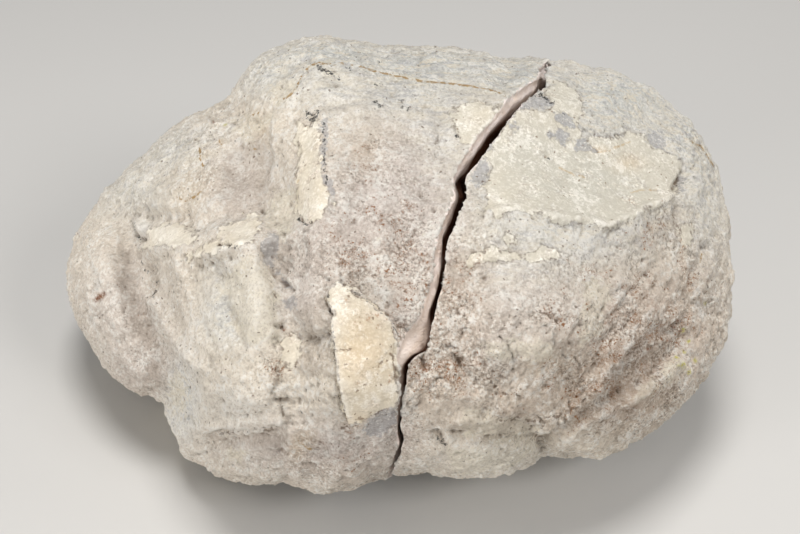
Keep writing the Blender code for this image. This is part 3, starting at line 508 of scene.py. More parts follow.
STAIN_RUNS = {
    "ridge_line": [
        (-26.4, 38.0), (-24.5, 39.3), (-23.2, 41.3), (-22.2, 43.6),
        (-20.9, 45.2), (-19.1, 46.3), (-16.8, 46.1), (-15.0, 45.9), (-13.2, 46.3), (-10.9, 45.9),
        (-8.6, 45.4), (-5.9, 44.5), (-3.6, 44.0), (-0.9, 43.4), (2.3, 42.7), (5.4, 42.0), (9.1, 41.8),
        (12.7, 41.5), (15.4, 41.1), (18.2, 40.6), (21.3, 40.0), (24.1, 38.8), (27.2, 37.5)],
    "slope_dots": [(-45.4, 27.0), (-45.4, 24.7), (-44.5, 22.5)],
    "slope_streak": [(-41.3, 29.3), (-40.4, 27.5), (-40.4, 26.1)],
    "slope_foot": [(-50.8, 15.9), (-48.6, 15.0), (-46.3, 16.1), (-44.5, 17.9)],
    "lobe_spot": [(-68.8, -6.1), (-67.6, -7.0)],
    "niche_top": [(-33.4, 34.4), (-32.0, 35.0)],
    "niche_foot": [(-33.6, 26.6), (-32.2, 27.0)],
    "dish_streak_high": [(44.9, 25.9), (47.7, 26.6), (49.9, 27.5), (52.2, 28.4)],
    "dish_streak_left": [(36.3, 22.5), (39.0, 21.1), (41.8, 20.4)],
    "dish_streak_low": [(52.2, 16.8), (54.9, 17.5), (58.1, 17.5)],
    "rim_streak": [(65.8, 28.6), (68.1, 27.5), (69.7, 25.2), (71.1, 22.9)],
    "foot_curve": [(-23.2, -39.3), (-21.8, -40.6), (-20.0, -41.5)],
    "right_edge": [(68.6, 3.4), (68.1, 1.1)],
    "nose_dot": [(-23.6, 19.1), (-22.9, 19.7)],
}  # fmt: skip
ORE_THICKNESS = {  # mm more to each side, where the ore is solid
    "nose_line": 0.2, "nose_low": 0.2, "nose_lowest": 0.2, "cluster_mid": 0.15, "cluster_right": 0.15,
    "crack_top": 0.2, "block_dash": 0.15, "strip_foot_spot": 0.1, "foot_dark": 0.2, "hollow_edge": -0.05,
    "saddle_spot": 0.2, "plate_left": 0.0, "plate_top": -0.05, "plate_foot": -0.05, "strip_side": 0.05,
}
print(len(DARK_RUNS), "runs of ore,", len(FINE_LINES), "hairline cracks,", len(STAIN_RUNS), "stains")

# %% Broad changes of colour: across, up, reach across, reach up, weight
GREY_ZONES = [
    (-15.9, 48.8, 13.6, 3.2, 0.9), (6.8, 46.1, 20.4, 4.5, 0.9), (27.2, 42.9, 11.3, 5.0, 0.8),
    (0.0, 39.0, 13.6, 5.9, 0.7), (49.9, 39.0, 17.0, 8.6, 0.9), (65.8, 28.8, 6.4, 6.8, 0.8),
    (69.5, 12.9, 4.5, 18.2, 0.6), (-29.5, 43.6, 9.1, 5.4, 0.7), (-49.9, -30.2, 3.6, 7.7, 1.0),
    (-39.7, -9.8, 5.0, 10.0, 0.7), (-49.9, 26.6, 11.3, 5.0, 0.6), (36.3, 7.3, 20.4, 5.9, 0.5),
    (27.2, -0.7, 13.6, 4.5, 0.4), (-61.3, 17.5, 9.1, 6.8, 0.5), (9.1, 31.1, 6.8, 9.1, 0.5),
    (-15.9, 40.2, 5.9, 4.5, 0.4), (43.0, 20.0, 26.0, 14.0, 0.85), (27.0, 27.5, 8.0, 7.0, 0.6),
    (-7.5, -19.5, 7.0, 12.0, 0.35),
]
MAUVE_ZONES = [
    (-3.4, 19.7, 13.6, 13.6, 0.9), (-11.3, 6.1, 15.9, 11.3, 0.9), (6.8, 6.1, 6.8, 13.6, 0.8),
    (0.0, -12.0, 6.8, 9.1, 0.8), (-22.7, -5.2, 6.8, 9.1, 0.7), (-37.5, 18.6, 9.1, 11.3, 0.6),
    (-63.6, -7.5, 11.3, 13.6, 0.6), (-15.9, -41.5, 18.2, 7.7, 0.9), (-2.3, -37.0, 6.8, 4.5, 0.9),
    (-59.0, -23.4, 9.1, 9.1, 0.7), (54.5, -14.3, 18.2, 13.6, 0.6), (27.2, -7.5, 18.2, 9.1, 0.5),
    (18.2, -18.8, 13.6, 11.3, 0.5), (-34.1, -41.5, 13.6, 4.5, 0.4),
]
BROWN_ZONES = [
    (13.6, -7.5, 6.8, 13.6, 0.6), (9.1, -21.1, 9.1, 11.3, 0.7), (54.5, -16.6, 13.6, 11.3, 0.8),
    (45.4, -25.7, 15.9, 9.1, 1.0), (65.8, -7.5, 9.1, 15.9, 0.6), (54.0, -30.2, 11.3, 9.1, 1.0),
    (31.8, -30.2, 13.6, 4.5, 0.6), (-11.3, 3.9, 11.3, 6.8, 0.4), (-56.8, -23.4, 7.0, 6.8, 0.4),
    (-13.6, -46.1, 13.6, 4.5, 0.4), (2.3, -30.2, 6.8, 9.1, 0.5), (22.7, -34.7, 8.0, 3.2, 0.8),
]
CALM_ZONES = [  # where the skin is smoother
    (-38.0, -11.0, 13.0, 15.0, 0.8), (-35.0, 20.0, 7.0, 9.0, 0.8), (-48.0, 12.0, 8.0, 8.0, 0.5),
    (-61.0, -6.0, 4.5, 12.0, 0.7), (43.0, -3.0, 12.0, 7.0, 0.4), (0.0, 22.0, 10.0, 12.0, 0.4),
    (27.0, 0.0, 10.0, 8.0, 0.4),
]
RUST_ZONES = [
    (-11.3, 3.9, 13.6, 9.1, 0.9), (0.0, 3.9, 5.9, 13.6, 0.9), (-5.7, 23.2, 8.2, 6.8, 0.5),
    (12.5, -5.2, 5.9, 13.6, 0.9), (-6.4, 24.3, 4.5, 5.4, 0.6), (6.8, -23.4, 9.1, 9.1, 0.8),
    (18.2, -24.5, 9.1, 6.8, 0.7),
    (40.9, -0.7, 5.4, 3.6, 1.0), (49.9, -5.2, 6.8, 5.4, 0.6), (56.8, 7.3, 6.8, 6.8, 0.7),
    (54.5, -14.3, 11.3, 9.1, 0.8), (65.8, -5.2, 8.2, 13.6, 0.6), (34.1, -10.9, 6.8, 4.5, 0.9),
    (45.4, -30.2, 13.6, 6.8, 0.7), (31.8, -27.9, 11.3, 3.6, 0.6), (-13.6, -41.5, 11.3, 5.4, 0.6),
    (-28.4, -22.2, 3.6, 3.6, 0.9), (-6.8, -14.3, 6.8, 13.6, 0.4), (43.1, -20.0, 11.3, 6.8, 0.5),
    (-38.6, -25.7, 9.1, 5.4, 0.3), (65.8, 28.8, 5.4, 4.5, 0.4), (-45.4, 26.6, 6.8, 6.8, 0.3),
    (-61.3, -16.6, 5.4, 5.4, 0.3), (4.5, -7.5, 4.5, 9.1, 0.7), (54.5, -25.7, 11.3, 4.5, 0.5),
]
print("zones:", len(GREY_ZONES) + len(MAUVE_ZONES) + len(BROWN_ZONES) + len(RUST_ZONES))

# %% [markdown]
# ## Blanks: round off the facets
# Each plain half is a few thousand flat triangles. Weathered stone has no facets, so a copy is welded, its
# broken edges are creased to stay sharp, and a subdivision surface rounds the rest. A voxel remesh then
# covers it with even, small faces, which is what carving needs: every later dent or crust moves these
# points. The plain half itself stays as it is.

# %% Copy, weld and round
VOXEL = {"left_half": 0.52, "right_half": 0.44}  # mm, the size of the small faces
LIP_ANGLE = math.radians(40.0)  # edges sharper than this are broken edges


def select_only(piece):
    bpy.ops.object.select_all(action="DESELECT")
    piece.select_set(True)
    bpy.context.view_layer.objects.active = piece


def apply_modifier(piece, kind, **settings):
    """Adds a modifier with these settings and applies it."""
    select_only(piece)
    modifier = piece.modifiers.new(kind.lower(), kind)
    for name, value in settings.items():
        setattr(modifier, name, value)
    bpy.ops.object.modifier_apply(modifier=modifier.name)


def welded_copy(node, name):
    """A copy of a plain half with its loose triangles joined and its broken edges creased."""
    piece = bpy.data.objects.new(name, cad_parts[node].data.copy())
    bpy.context.scene.collection.objects.link(piece)
    select_only(piece)
    bpy.ops.object.mode_set(mode="EDIT")
    bpy.ops.mesh.select_all(action="SELECT")
    bpy.ops.mesh.remove_doubles(threshold=1e-6)
    bpy.ops.mesh.select_all(action="DESELECT")
    bpy.ops.mesh.select_mode(type="EDGE")
    bpy.ops.mesh.edges_select_sharp(sharpness=LIP_ANGLE)
    bpy.ops.transform.edge_crease(value=1.0)
    bpy.ops.object.mode_set(mode="OBJECT")
    return piece


def mesh_points(piece):
    flat = np.empty(len(piece.data.vertices) * 3, np.float32)
    piece.data.vertices.foreach_get("co", flat)
    return flat.reshape(-1, 3).astype(float)


def mesh_normals(piece):
    flat = np.empty(len(piece.data.vertices) * 3, np.float32)
    piece.data.vertex_normals.foreach_get("vector", flat)
    return flat.reshape(-1, 3).astype(float)


blanks = {}
for node in ("left_half", "right_half"):
    blank = welded_copy(node, node + "_stone")
    apply_modifier(blank, "SUBSURF", levels=2, render_levels=2)
    blanks[node] = blank
    print(blank.name, "rounded to", len(blank.data.polygons), "faces")

# %% [markdown]
# ## Which faces are freshly broken
# The two broken faces look at each other across the crack. A short ray that leaves such a face hits the
# other half, and a ray from the outer skin hardly ever does. That tells skin and break apart all round
# the stone. Where the crack gapes at the eye the rays miss, so the mouth of the crack is drawn once: the
# left half's faces inside it are broken, and the right half's faces seen beside it are skin.

# %% Tell skin and break apart
CRACK_REACH = 14.0 * MM  # further than the widest gap
RAY_START = 0.05  # mm in front of a face, so that its ray doesn't hit the face itself
LEAST_SIDEWAYS = 0.4  # how much a face looks sideways before the long ray is tried
TURNED_IN = 0.2  # how much a broken left face looks sideways just inside the mouth of the crack
WELL_INSIDE = 0.9  # mm inside the mouth, where every left face is broken
WELL_OUTSIDE = 0.5  # mm outside the mouth, where right faces can be told to be skin
IN_FRONT = 20.0  # mm in front of the middle of the stone, where such skin lies
TOWARDS_EYE = 0.3  # how much such skin looks at the eye, at least
OPEN_CRACK = [
    (31.8, 45.2), (30.4, 41.1), (26.8, 38.6), (24.1, 36.1), (21.6, 32.5), (18.6, 28.8), (15.9, 24.7),
    (12.7, 20.7), (11.3, 17.5), (10.4, 14.1), (9.5, 9.5), (8.9, 5.0), (7.9, -0.2), (7.3, -5.2),
    (5.9, -9.3), (3.0, -12.9), (0.5, -15.9), (-0.7, -19.3), (-0.9, -22.9), (-0.2, -26.6), (1.4, -29.3),
    (2.0, -23.8), (3.2, -21.1), (6.8, -19.3), (8.6, -14.3), (9.5, -7.5), (11.1, 1.1), (12.3, 8.4),
    (14.1, 15.2), (16.3, 19.7), (19.1, 24.3), (23.2, 29.3), (26.6, 33.8), (30.0, 37.9), (33.4, 40.6),
    (33.8, 44.3)]  # the open crack on the sight sheet, across and up
ACROSS = Vector((1.0, 0.0, 0.0))  # the crack runs away from the eye, so its faces look sideways


def ball_tree(piece):
    return BVHTree.FromPolygons([v.co for v in piece.data.vertices],
                                [p.vertices for p in piece.data.polygons])


def looks_into_crack(face, other, sideways):
    """Whether a face looks at the other half across the crack."""
    start = face.center + face.normal * RAY_START * MM
    if other.ray_cast(start, face.normal, 0.5 * CRACK_REACH)[0] is not None:
        return True
    faces_it = face.normal.dot(sideways) > LEAST_SIDEWAYS
    return faces_it and other.ray_cast(start, sideways, CRACK_REACH)[0] is not None


def faces_at_mouth(faces):
    """Middles and normals of the faces, how near they are, and how deep inside the mouth of the crack."""
    centres = np.array([face.center for face in faces])
    normals = np.array([face.normal for face in faces])
    across, up, near = sight_places(centres)
    return centres, normals, near, patch_depth(across, up, OPEN_CRACK)


def seen_in_crack(faces):
    """Which faces are seen through the mouth of the crack: they lean towards it, or lie well inside."""
    centres, normals, _, depth = faces_at_mouth(faces)
    towards_eye = np.einsum("ij,ij->i", normals, np.array(camera.location) - centres) > 0.0
    turned_in = (depth > 0.0) & (normals[:, 0] > TURNED_IN)
    return towards_eye & (turned_in | (depth > WELL_INSIDE))


def seen_beside_crack(faces):
    """Which faces the eye sees in front, outside the mouth of the crack."""
    _, normals, near, depth = faces_at_mouth(faces)
    return (normals @ np.array(TO_EYE) > TOWARDS_EYE) & (near > IN_FRONT) & (depth < -WELL_OUTSIDE)


trees = {node: ball_tree(blank) for node, blank in blanks.items()}
broken_faces = {}
for node, other, sideways in (("left_half", "right_half", ACROSS), ("right_half", "left_half", -ACROSS)):
    faces = blanks[node].data.polygons
    broken_faces[node] = np.array([looks_into_crack(f, trees[other], sideways) for f in faces])
    if node == "left_half":  # the half whose break is turned to the eye
        broken_faces[node] |= seen_in_crack(faces)
    else:
        broken_faces[node] &= ~seen_beside_crack(faces)
    print(node, "broken share of faces:", round(float(broken_faces[node].mean()), 3))

# %% [markdown]
# ## Carving
# The crust is a sum of simple forms, each measured in millimetres along the surface's own normal: clay that
# dried on it and stands up with a ragged edge, one thick flake, swellings and grooves, streaks of bedding,
# pits where grains fell out, and unevenness at several sizes. Clay is smoother than bare stone, and so are
# a few calm zones, while rusty and brown parts are rougher. On the hidden side the same forms are spread
# by noise, because real clay doesn't stop where the eye stops.

# %% Unevenness
def fractal(points, wavelength, octaves, seed=0.0, fineness=0.9):
    """Unevenness between about -1 and 1 that repeats at ever smaller sizes; points in metres.

    The lower the fineness, the stronger are the small sizes.
    """
    places = points / (wavelength * MM) + seed
    return np.array([noise.fractal(p, fineness, 2.0, octaves) for p in map(Vector, places)])


def streaks(across, up, near, length, width, turn, seed):
    """Unevenness drawn out in one direction of the sight sheet, such as bedding or folds."""
    c, s = math.cos(math.radians(turn)), math.sin(math.radians(turn))
    places = np.stack([(across * c + up * s) / length, (up * c - across * s) / width,
                       near / length + seed], axis=1)
    return np.array([0.6 - 1.6 * abs(noise.noise(p)) for p in map(Vector, places)])


# %% Where the clay, the bare stone and the stains lie
HIDDEN_CLAY = (26.0, 3, 5.0)  # size of the clay patches on the hidden side, mm, octaves, seed
HIDDEN_BARE = (17.0, 3, 9.0)
HIDDEN_ORE = (5.0, 4, 21.0)
HIDDEN_STAIN = (30.0, 3, 13.0)
HIDDEN_LINES = (24.0, 4, 27.0)
LINE_DRIFT = (2.6, 2, 31.0)  # lets the hairline cracks wander
EDGE_OF_SIGHT = 0.25  # how fast what the eye sees gives way to the hidden side


def skin_fields(points, normals):
    """Everything that the carving and the material need to know about each point of the skin."""
    across, up, near = sight_places(points)
    to_eye = np.array(camera.location) - points
    to_eye /= np.linalg.norm(to_eye, axis=1)[:, None]
    front = smooth(np.einsum("ij,ij->i", normals, to_eye) / EDGE_OF_SIGHT + 0.6)
    drift = 0.5 * fractal(points, *LINE_DRIFT)
    seen = {"clay": deepest(across, up, CLAY_PATCHES.values()),
            "bare": deepest(across, up, BARE_PATCHES.values()),
            "film": deepest(across, up, FILM_PATCHES.values()),
            "dark": nearest_run(across, up, DARK_RUNS, ORE_THICKNESS),
            "stain": nearest_run(across, up, STAIN_RUNS),
            "line": nearest_run(across + drift, up - drift, FINE_LINES),
            "grey": zone_weight(across, up, GREY_ZONES),
            "mauve": zone_weight(across, up, MAUVE_ZONES),
            "brown": zone_weight(across, up, BROWN_ZONES),
            "rust": zone_weight(across, up, RUST_ZONES),
            "shade": deepest(across, up, SHADED_PATCHES.values()),
            "yellow": spot_weight(across, up, YELLOW_SPOTS),
            "red": spot_weight(across, up, RED_SPOTS),
            "gold": zone_weight(across, up, GOLD_ZONES),
            "pale": zone_weight(across, up, PALE_AND_LIT_ZONES)}
    broad, other = fractal(points, *HIDDEN_CLAY), fractal(points, *HIDDEN_BARE)
    low = smooth(0.55 - points[:, 2] / (70.0 * MM))
    hidden = {"clay": (broad - 0.12) * 14.0, "bare": (other - 0.45) * 10.0, "film": (other - 0.1) * 9.0,
              "dark": (0.8 - fractal(points, *HIDDEN_ORE)) * 4.0,
              "stain": np.abs(fractal(points, *HIDDEN_STAIN)) * 30.0 + 0.8,
              "line": np.abs(fractal(points, *HIDDEN_LINES)) * 22.0 + 0.1,
              "grey": smooth(0.5 - broad), "mauve": smooth(0.5 + other),
              "brown": 0.7 * low, "rust": smooth(0.3 + other - 0.5 * broad),
              "shade": np.full(broad.shape, -REACH),
              "yellow": 0.0, "red": 0.0, "gold": 0.3 * smooth(other - broad), "pale": 0.0}
    fields = {name: front * seen[name] + (1.0 - front) * hidden[name] for name in seen}
    fields.update(front=front, across=across, up=up, near=near)
    return fields


# %% Carve the skin
CRUST = 0.2  # mm, how far dried clay stands up
FLAKE = 0.9  # mm more, where the one thick flake stands
FORMS = {  # unevenness: size in mm, octaves, seed, and fineness where it isn't the usual one
    "torn_edge": (2.6, 3, 3.0), "torn_edge_broad": (7.0, 2, 8.0), "lumps": (9.0, 6, 0.0, 0.6),
    "crumbs": (1.9, 3, 4.0, 0.5), "clay": (5.0, 4, 6.0, 0.6), "creases": (11.0, 4, 15.0),
    "creased_parts": (22.0, 2, 17.0),
}
STREAK_SETS = (  # height, length and width in mm, turn in degrees, seed
    (0.65, 14.0, 1.8, 2.0, 1.0), (0.4, 13.0, 1.9, -6.0, 2.0), (0.7, 13.0, 2.6, 48.0, 3.0),
    (0.35, 6.0, 1.2, 46.0, 5.0), (0.55, 12.0, 2.2, 96.0, 4.0),
)
USUAL_GROOVE = (0.45, 0.55)  # half width and depth in mm
PIT_COUNT = {"left_half": 1500, "right_half": 900}
KNOB_COUNT = {"left_half": 900, "right_half": 600}
PIT_SIZES = (0.4, 1.5)  # mm, the radii of the pits
KNOB_SIZES = (0.7, 2.2)
PIT_DEPTH, KNOB_HEIGHT = 0.45, 0.22  # as a share of their radius
PIT_SEED, KNOB_SEED = 5, 6
SPOTS = [
    (-69.5, -4.1, 0.7), (-42.7, 30.0, 0.9), (-44.3, 19.3, 0.6), (-44.0, 20.4, 0.5), (-22.7, 10.7, 0.9),
    (-20.4, 10.0, 0.6), (-26.8, -13.6, 1.1), (-43.4, 0.7, 0.6), (-38.6, 1.6, 0.6), (0.5, 37.7, 0.5),
    (-4.1, 36.5, 0.6), (33.1, 25.0, 0.6), (37.5, 9.5, 0.5), (49.3, 4.5, 0.6), (55.2, 1.6, 0.6),
    (64.0, -7.3, 0.6), (68.6, -5.7, 0.8), (19.3, -18.6, 0.5), (9.1, -39.0, 1.2), (10.0, -39.7, 1.0),
    (-34.1, 30.2, 0.5), (-67.4, -5.9, 0.5),
]  # open holes: across, up, radius in mm


def scattered(points, count, sizes, seed):
    """Seeded places on the surface, each with a radius; most are small."""
    rng = np.random.default_rng(seed)
    places = points[rng.integers(0, len(points), count)]
    return places, sizes[0] + (sizes[1] - sizes[0]) * rng.random(count) ** 2.2


def dimples(points, tree, places, radii, depth_share):
    """Round dents at these places, as deep as their own share of their radius."""
    dent = np.zeros(len(points))
    for place, radius in zip(places, radii):
        for _, index, distance in tree.find_range(place, radius * MM):
            fall = 1.0 - (distance / (radius * MM)) ** 2
            dent[index] = max(dent[index], depth_share * radius * fall)
    return dent


def point_tree(points):
    tree = KDTree(len(points))
    for index, point in enumerate(points):
        tree.insert(point, index)
    tree.balance()
    return tree


def skin_relief(points, fields, node):
    """How far each point of the skin moves along its normal, in mm."""
    across, up, near, front = (fields[name] for name in ("across", "up", "near", "front"))
    form = {name: fractal(points, *settings) for name, settings in FORMS.items()}
    ragged = 0.7 * form["torn_edge"] + 0.4 * form["torn_edge_broad"]
    clay = smooth((fields["clay"] + ragged) / 0.5 + 0.5)
    flake = smooth((patch_depth(across, up, CLAY_PATCHES["plate"]) + 0.6 * ragged) / 0.5 + 0.5) * front
    bare = smooth((fields["bare"] + ragged) / 0.6 + 0.5)
    rough = (1.0 - 0.65 * clay - 0.3 * bare) * (1.0 - 0.5 * zone_weight(across, up, CALM_ZONES) * front)
    worn = np.maximum(fields["rust"], fields["brown"])
    relief = CRUST * clay - 0.15 * bare + FLAKE * flake
    relief += rough * (form["lumps"] + 0.3 * form["crumbs"]) + 0.16 * clay * form["clay"]
    creases = smooth(1.0 - np.abs(form["creases"]) / 0.055)
    relief -= 0.6 * rough * creases * smooth(form["creased_parts"] + 0.6)
    for points_along, half_width, height in SWELLS.values():
        away = nearest_run(across, up, {"swell": points_along}) + 0.2 * ragged
        relief += front * height * smooth(1.0 - away / half_width)
    # where the streaks lie: low on the left, along the top, in the folds low on the right, on the right end
    beds = smooth(1.4 - np.abs(across + 34.0) / 16.0) * smooth((-24.0 - up) / 6.0)
    top = smooth((up - 30.0) / 8.0)
    drape = smooth((across - 34.0) / 16.0) * smooth((6.0 - up) / 10.0)
    side = smooth((across - 62.0) / 6.0) * smooth((up + 4.0) / 8.0)
    for where, (height, *drawn) in zip((beds, top, drape, drape, side), STREAK_SETS):
        relief += height * where * front * streaks(across, up, near, *drawn)
    for name, points_along in GROOVES.items():
        half_width, depth = GROOVE_SIZES.get(name, USUAL_GROOVE)
        away = nearest_run(across, up, {name: points_along}) + 0.25 * ragged
        relief -= front * depth * smooth(1.0 - away / half_width)
    tree = point_tree(points)
    relief -= (1.0 - 0.6 * clay) * (0.4 + 0.6 * worn) * dimples(
        points, tree, *scattered(points, PIT_COUNT[node], PIT_SIZES, PIT_SEED), PIT_DEPTH)
    relief += (1.0 - clay) * (0.4 + 0.6 * worn) * dimples(
        points, tree, *scattered(points, KNOB_COUNT[node], KNOB_SIZES, KNOB_SEED), KNOB_HEIGHT)
    for a, u, radius in SPOTS:
        hole = smooth(1.3 - np.hypot(across - a, up - u) / radius)
        relief -= 0.8 * radius * front * hole
    return relief


# %% [markdown]
# The broken faces are carved too, but gently and only inwards, because they almost touch low down. What
# happens to a point is settled by the plain face nearest to it: skin or break. The left break leans out
# below its rim, so light falls on it and it shows as a pale band beside the dark gap. A ray to the other
# half says how far it may go.

# %% Carve both halves
COARSER = 1.0  # larger faces while trying things
BREAK_ROUGHNESS = 0.32  # mm
BREAK_FORM = (5.0, 4, 2.0)  # size in mm, octaves, seed
INWARDS = 0.8  # as a share of the roughness
SOLE_KEPT = 1.2  # mm above the floor, below which the foot stays flat
FACE_BUDGET = 195_000  # triangles for each half
LEAN = 0.9  # how fast the left break leans out below its rim
LEAN_START = 1.1  # mm below the rim, so that the rim stays a clear edge
LEAST_GAP = 0.75  # mm, what it leaves open low down
WIDER_ABOVE = 1.15  # mm more at the top
WIDENS_FROM, WIDENS_OVER = -2.0, 22.0  # mm on the sight sheet
LEAN_FADES = (9.0, 14.0)  # mm below the rim


def share_on_break(points, node):
    """1 where the nearest plain face is a broken one, 0 on the skin."""
    tree, broken = trees[node], broken_faces[node]
    return np.array([broken[tree.find_nearest(p)[2]] for p in map(Vector, points)], float)


def lean_out(points, broken):
    """How far a break leans out towards the right half below its rim, in mm; it never closes the crack."""
    lean = np.zeros(len(points))
    up = sight_places(points)[1]
    left_open = LEAST_GAP + WIDER_ABOVE * smooth((up - WIDENS_FROM) / WIDENS_OVER)
    skin_tree = point_tree(points[broken < 0.5])
    for index in np.nonzero(broken > 0.5)[0]:
        place = Vector(points[index])
        below_rim = skin_tree.find(place)[2] / MM
        distance = trees["right_half"].ray_cast(place, ACROSS, CRACK_REACH)[3]
        if distance is not None:
            fade = smooth((LEAN_FADES[1] - below_rim) / (LEAN_FADES[1] - LEAN_FADES[0]))
            free = distance / MM - left_open[index]
            lean[index] = fade * max(min(LEAN * (below_rim - LEAN_START), free), 0.0)
    return lean


def carve(piece, node):
    points, normals = mesh_points(piece), mesh_normals(piece)
    broken = share_on_break(points, node)
    if node == "left_half":
        points[:, 0] += lean_out(points, broken) * MM
    relief = (1.0 - broken) * skin_relief(points, skin_fields(points, normals), node)
    relief += broken * BREAK_ROUGHNESS * (fractal(points, *BREAK_FORM) - INWARDS)
    relief *= smooth(points[:, 2] / MM / SOLE_KEPT)
    moved = points + normals * relief[:, None] * MM
    moved[:, 2] = np.maximum(moved[:, 2], 0.0)
    piece.data.vertices.foreach_set("co", moved.astype(np.float32).ravel())
    piece.data.update()
    carved[node] = point_tree(moved), broken
    print(piece.name, "carved from", round(relief.min(), 2), "to", round(relief.max(), 2), "mm")


carved = {}
for node, blank in blanks.items():
    apply_modifier(blank, "REMESH", mode="VOXEL", voxel_size=VOXEL[node] * COARSER * MM,
                   use_smooth_shade=True)
    carve(blank, node)
    triangles = 2 * len(blank.data.polygons)
    if triangles > FACE_BUDGET:
        apply_modifier(blank, "DECIMATE", ratio=FACE_BUDGET / triangles)
    select_only(blank)
    bpy.ops.object.shade_smooth()
    print(blank.name, "has", len(blank.data.polygons), "faces")

# %% [markdown]
# ## What the material has to know
# The finished points are asked once more where they lie, and the answers are stored on the mesh as
# attributes. A depth or a distance in millimetres is better than a painted edge: the material can add
# its own fine raggedness to it at any size. Whether a point is skin or break is taken from the carved
# point nearest to it, because the left break has moved away from the plain face it belongs to.

# %% Store the markings on the meshes
RIM_LIMIT = 60.0  # mm
STORED_FIELDS = ("clay", "film", "bare", "dark", "stain", "line", "grey", "mauve", "brown", "rust",
                 "shade", "yellow", "red", "gold", "pale")


def store(piece, name, values):
    stored = piece.data.attributes.new(name, "FLOAT", "POINT")
    stored.data.foreach_set("value", values.astype(np.float32))


def hollows(piece):
    """How hollow the surface is at each point: above 0 in creases, below 0 on ridges."""
    points, normals = mesh_points(piece), mesh_normals(piece)
    ends = np.empty(len(piece.data.edges) * 2, np.int32)
    piece.data.edges.foreach_get("vertices", ends)
    a, b = ends.reshape(-1, 2).T
    run = points[b] - points[a]
    length = np.linalg.norm(run, axis=1) + 1e-9
    rise_a = np.einsum("ij,ij->i", run, normals[a]) / length
    rise_b = -np.einsum("ij,ij->i", run, normals[b]) / length
    total = np.bincount(a, rise_a, len(points)) + np.bincount(b, rise_b, len(points))
    count = np.bincount(a, minlength=len(points)) + np.bincount(b, minlength=len(points))
    hollow = total / np.maximum(count, 1)
    for _ in range(2):
        spread = np.bincount(a, hollow[b], len(points)) + np.bincount(b, hollow[a], len(points))
        hollow = 0.5 * hollow + 0.5 * spread / np.maximum(count, 1)
    return hollow


def still_broken(points, node):
    """1 where the nearest carved point was on the break, 0 on the skin."""
    tree, broken = carved[node]
    return np.array([broken[tree.find(point)[1]] for point in points])


def store_markings(piece, node):
    points, normals = mesh_points(piece), mesh_normals(piece)
    broken = still_broken(points, node)
    fields = skin_fields(points, normals)
    for name in STORED_FIELDS:
        store(piece, name, fields[name])
    store(piece, "hollow", hollows(piece))
    skin_tree = point_tree(points[broken < 0.5])
    rim = np.zeros(len(points))
    for index in np.nonzero(broken > 0.5)[0]:
        rim[index] = min(skin_tree.find(points[index])[2] / MM, RIM_LIMIT)
    store(piece, "rim", rim)
    centres = np.empty(len(piece.data.polygons) * 3, np.float32)
    piece.data.polygons.foreach_get("center", centres)
    on_break = still_broken(centres.reshape(-1, 3).astype(float), node)
    piece.data.polygons.foreach_set("material_index", on_break.astype(np.int32))
    piece.data.update()
    print(piece.name, "broken faces:", int(on_break.sum()))


# %% [markdown]
# ## Node helpers
# Materials are built from a few helpers that add a node, fill its sockets and hand back an output. Colours
# are written as they look on a screen, from 0 to 255, and turned into light values.

# %% Helpers for shader nodes
def paint(red, green, blue):
    """A colour as it looks on a screen, as the light values that a shader wants."""
    shown = np.array([red, green, blue]) / 255.0
    light = np.where(shown <= 0.04045, shown / 12.92, ((shown + 0.055) / 1.055) ** 2.4)
    return (*[float(v) for v in light], 1.0)


def fill(tree, socket, value):
    if isinstance(value, bpy.types.NodeSocket):
        tree.links.new(value, socket)
    else:
        socket.default_value = value


def add_node(tree, kind, inputs, output=0, **settings):
    """Adds a node, fills the named or numbered inputs and returns one of its outputs."""
    node = tree.nodes.new(kind)
    for name, value in settings.items():
        setattr(node, name, value)
    for name, value in inputs.items():
        fill(tree, node.inputs[name], value)
    return node.outputs[output]


def calc(tree, operation, *values):
    return add_node(tree, "ShaderNodeMath", dict(enumerate(values)), operation=operation)


def mix_colour(tree, share, first, second, blend="MIX"):
    return add_node(tree, "ShaderNodeMix", {0: share, 6: first, 7: second}, 2,
                    data_type="RGBA", blend_type=blend)


def times(tree, first, second):
    return calc(tree, "MULTIPLY", first, second)


def layer(tree, below, tint, mask, most=None):
    """Lays a tint over what is below, where the mask is, `most` thick at most."""
    return mix_colour(tree, mask if most is None else times(tree, mask, most), below, tint)


def attribute(tree, name):
    return add_node(tree, "ShaderNodeAttribute", {}, "Fac", attribute_name=name)


def new_material(name):
    """A new material, its node tree, its shader, and the place on the stone as a socket."""
    material = bpy.data.materials.new(name)
    material.use_nodes = True
    tree = material.node_tree
    place = add_node(tree, "ShaderNodeTexCoord", {}, "Object")
    return material, tree, tree.nodes["Principled BSDF"], place


def between(tree, value, low, high):
    """0 below `low`, 1 above `high`, smoothly in between."""
    return add_node(tree, "ShaderNodeMapRange",
                    {"Value": value, "From Min": low, "From Max": high},
                    interpolation_type="SMOOTHSTEP")


def noise_value(tree, place, size, detail=3.0, roughness=0.55, output="Fac"):
    """Noise whose lumps are about `size` mm across; `place` is in metres."""
    if isinstance(size, bpy.types.NodeSocket):
        scale = calc(tree, "DIVIDE", 1.0 / MM, size)
    else:
        scale = 1.0 / (size * MM)
    return add_node(tree, "ShaderNodeTexNoise",
                    {"Vector": place, "Scale": scale, "Detail": detail, "Roughness": roughness}, output)


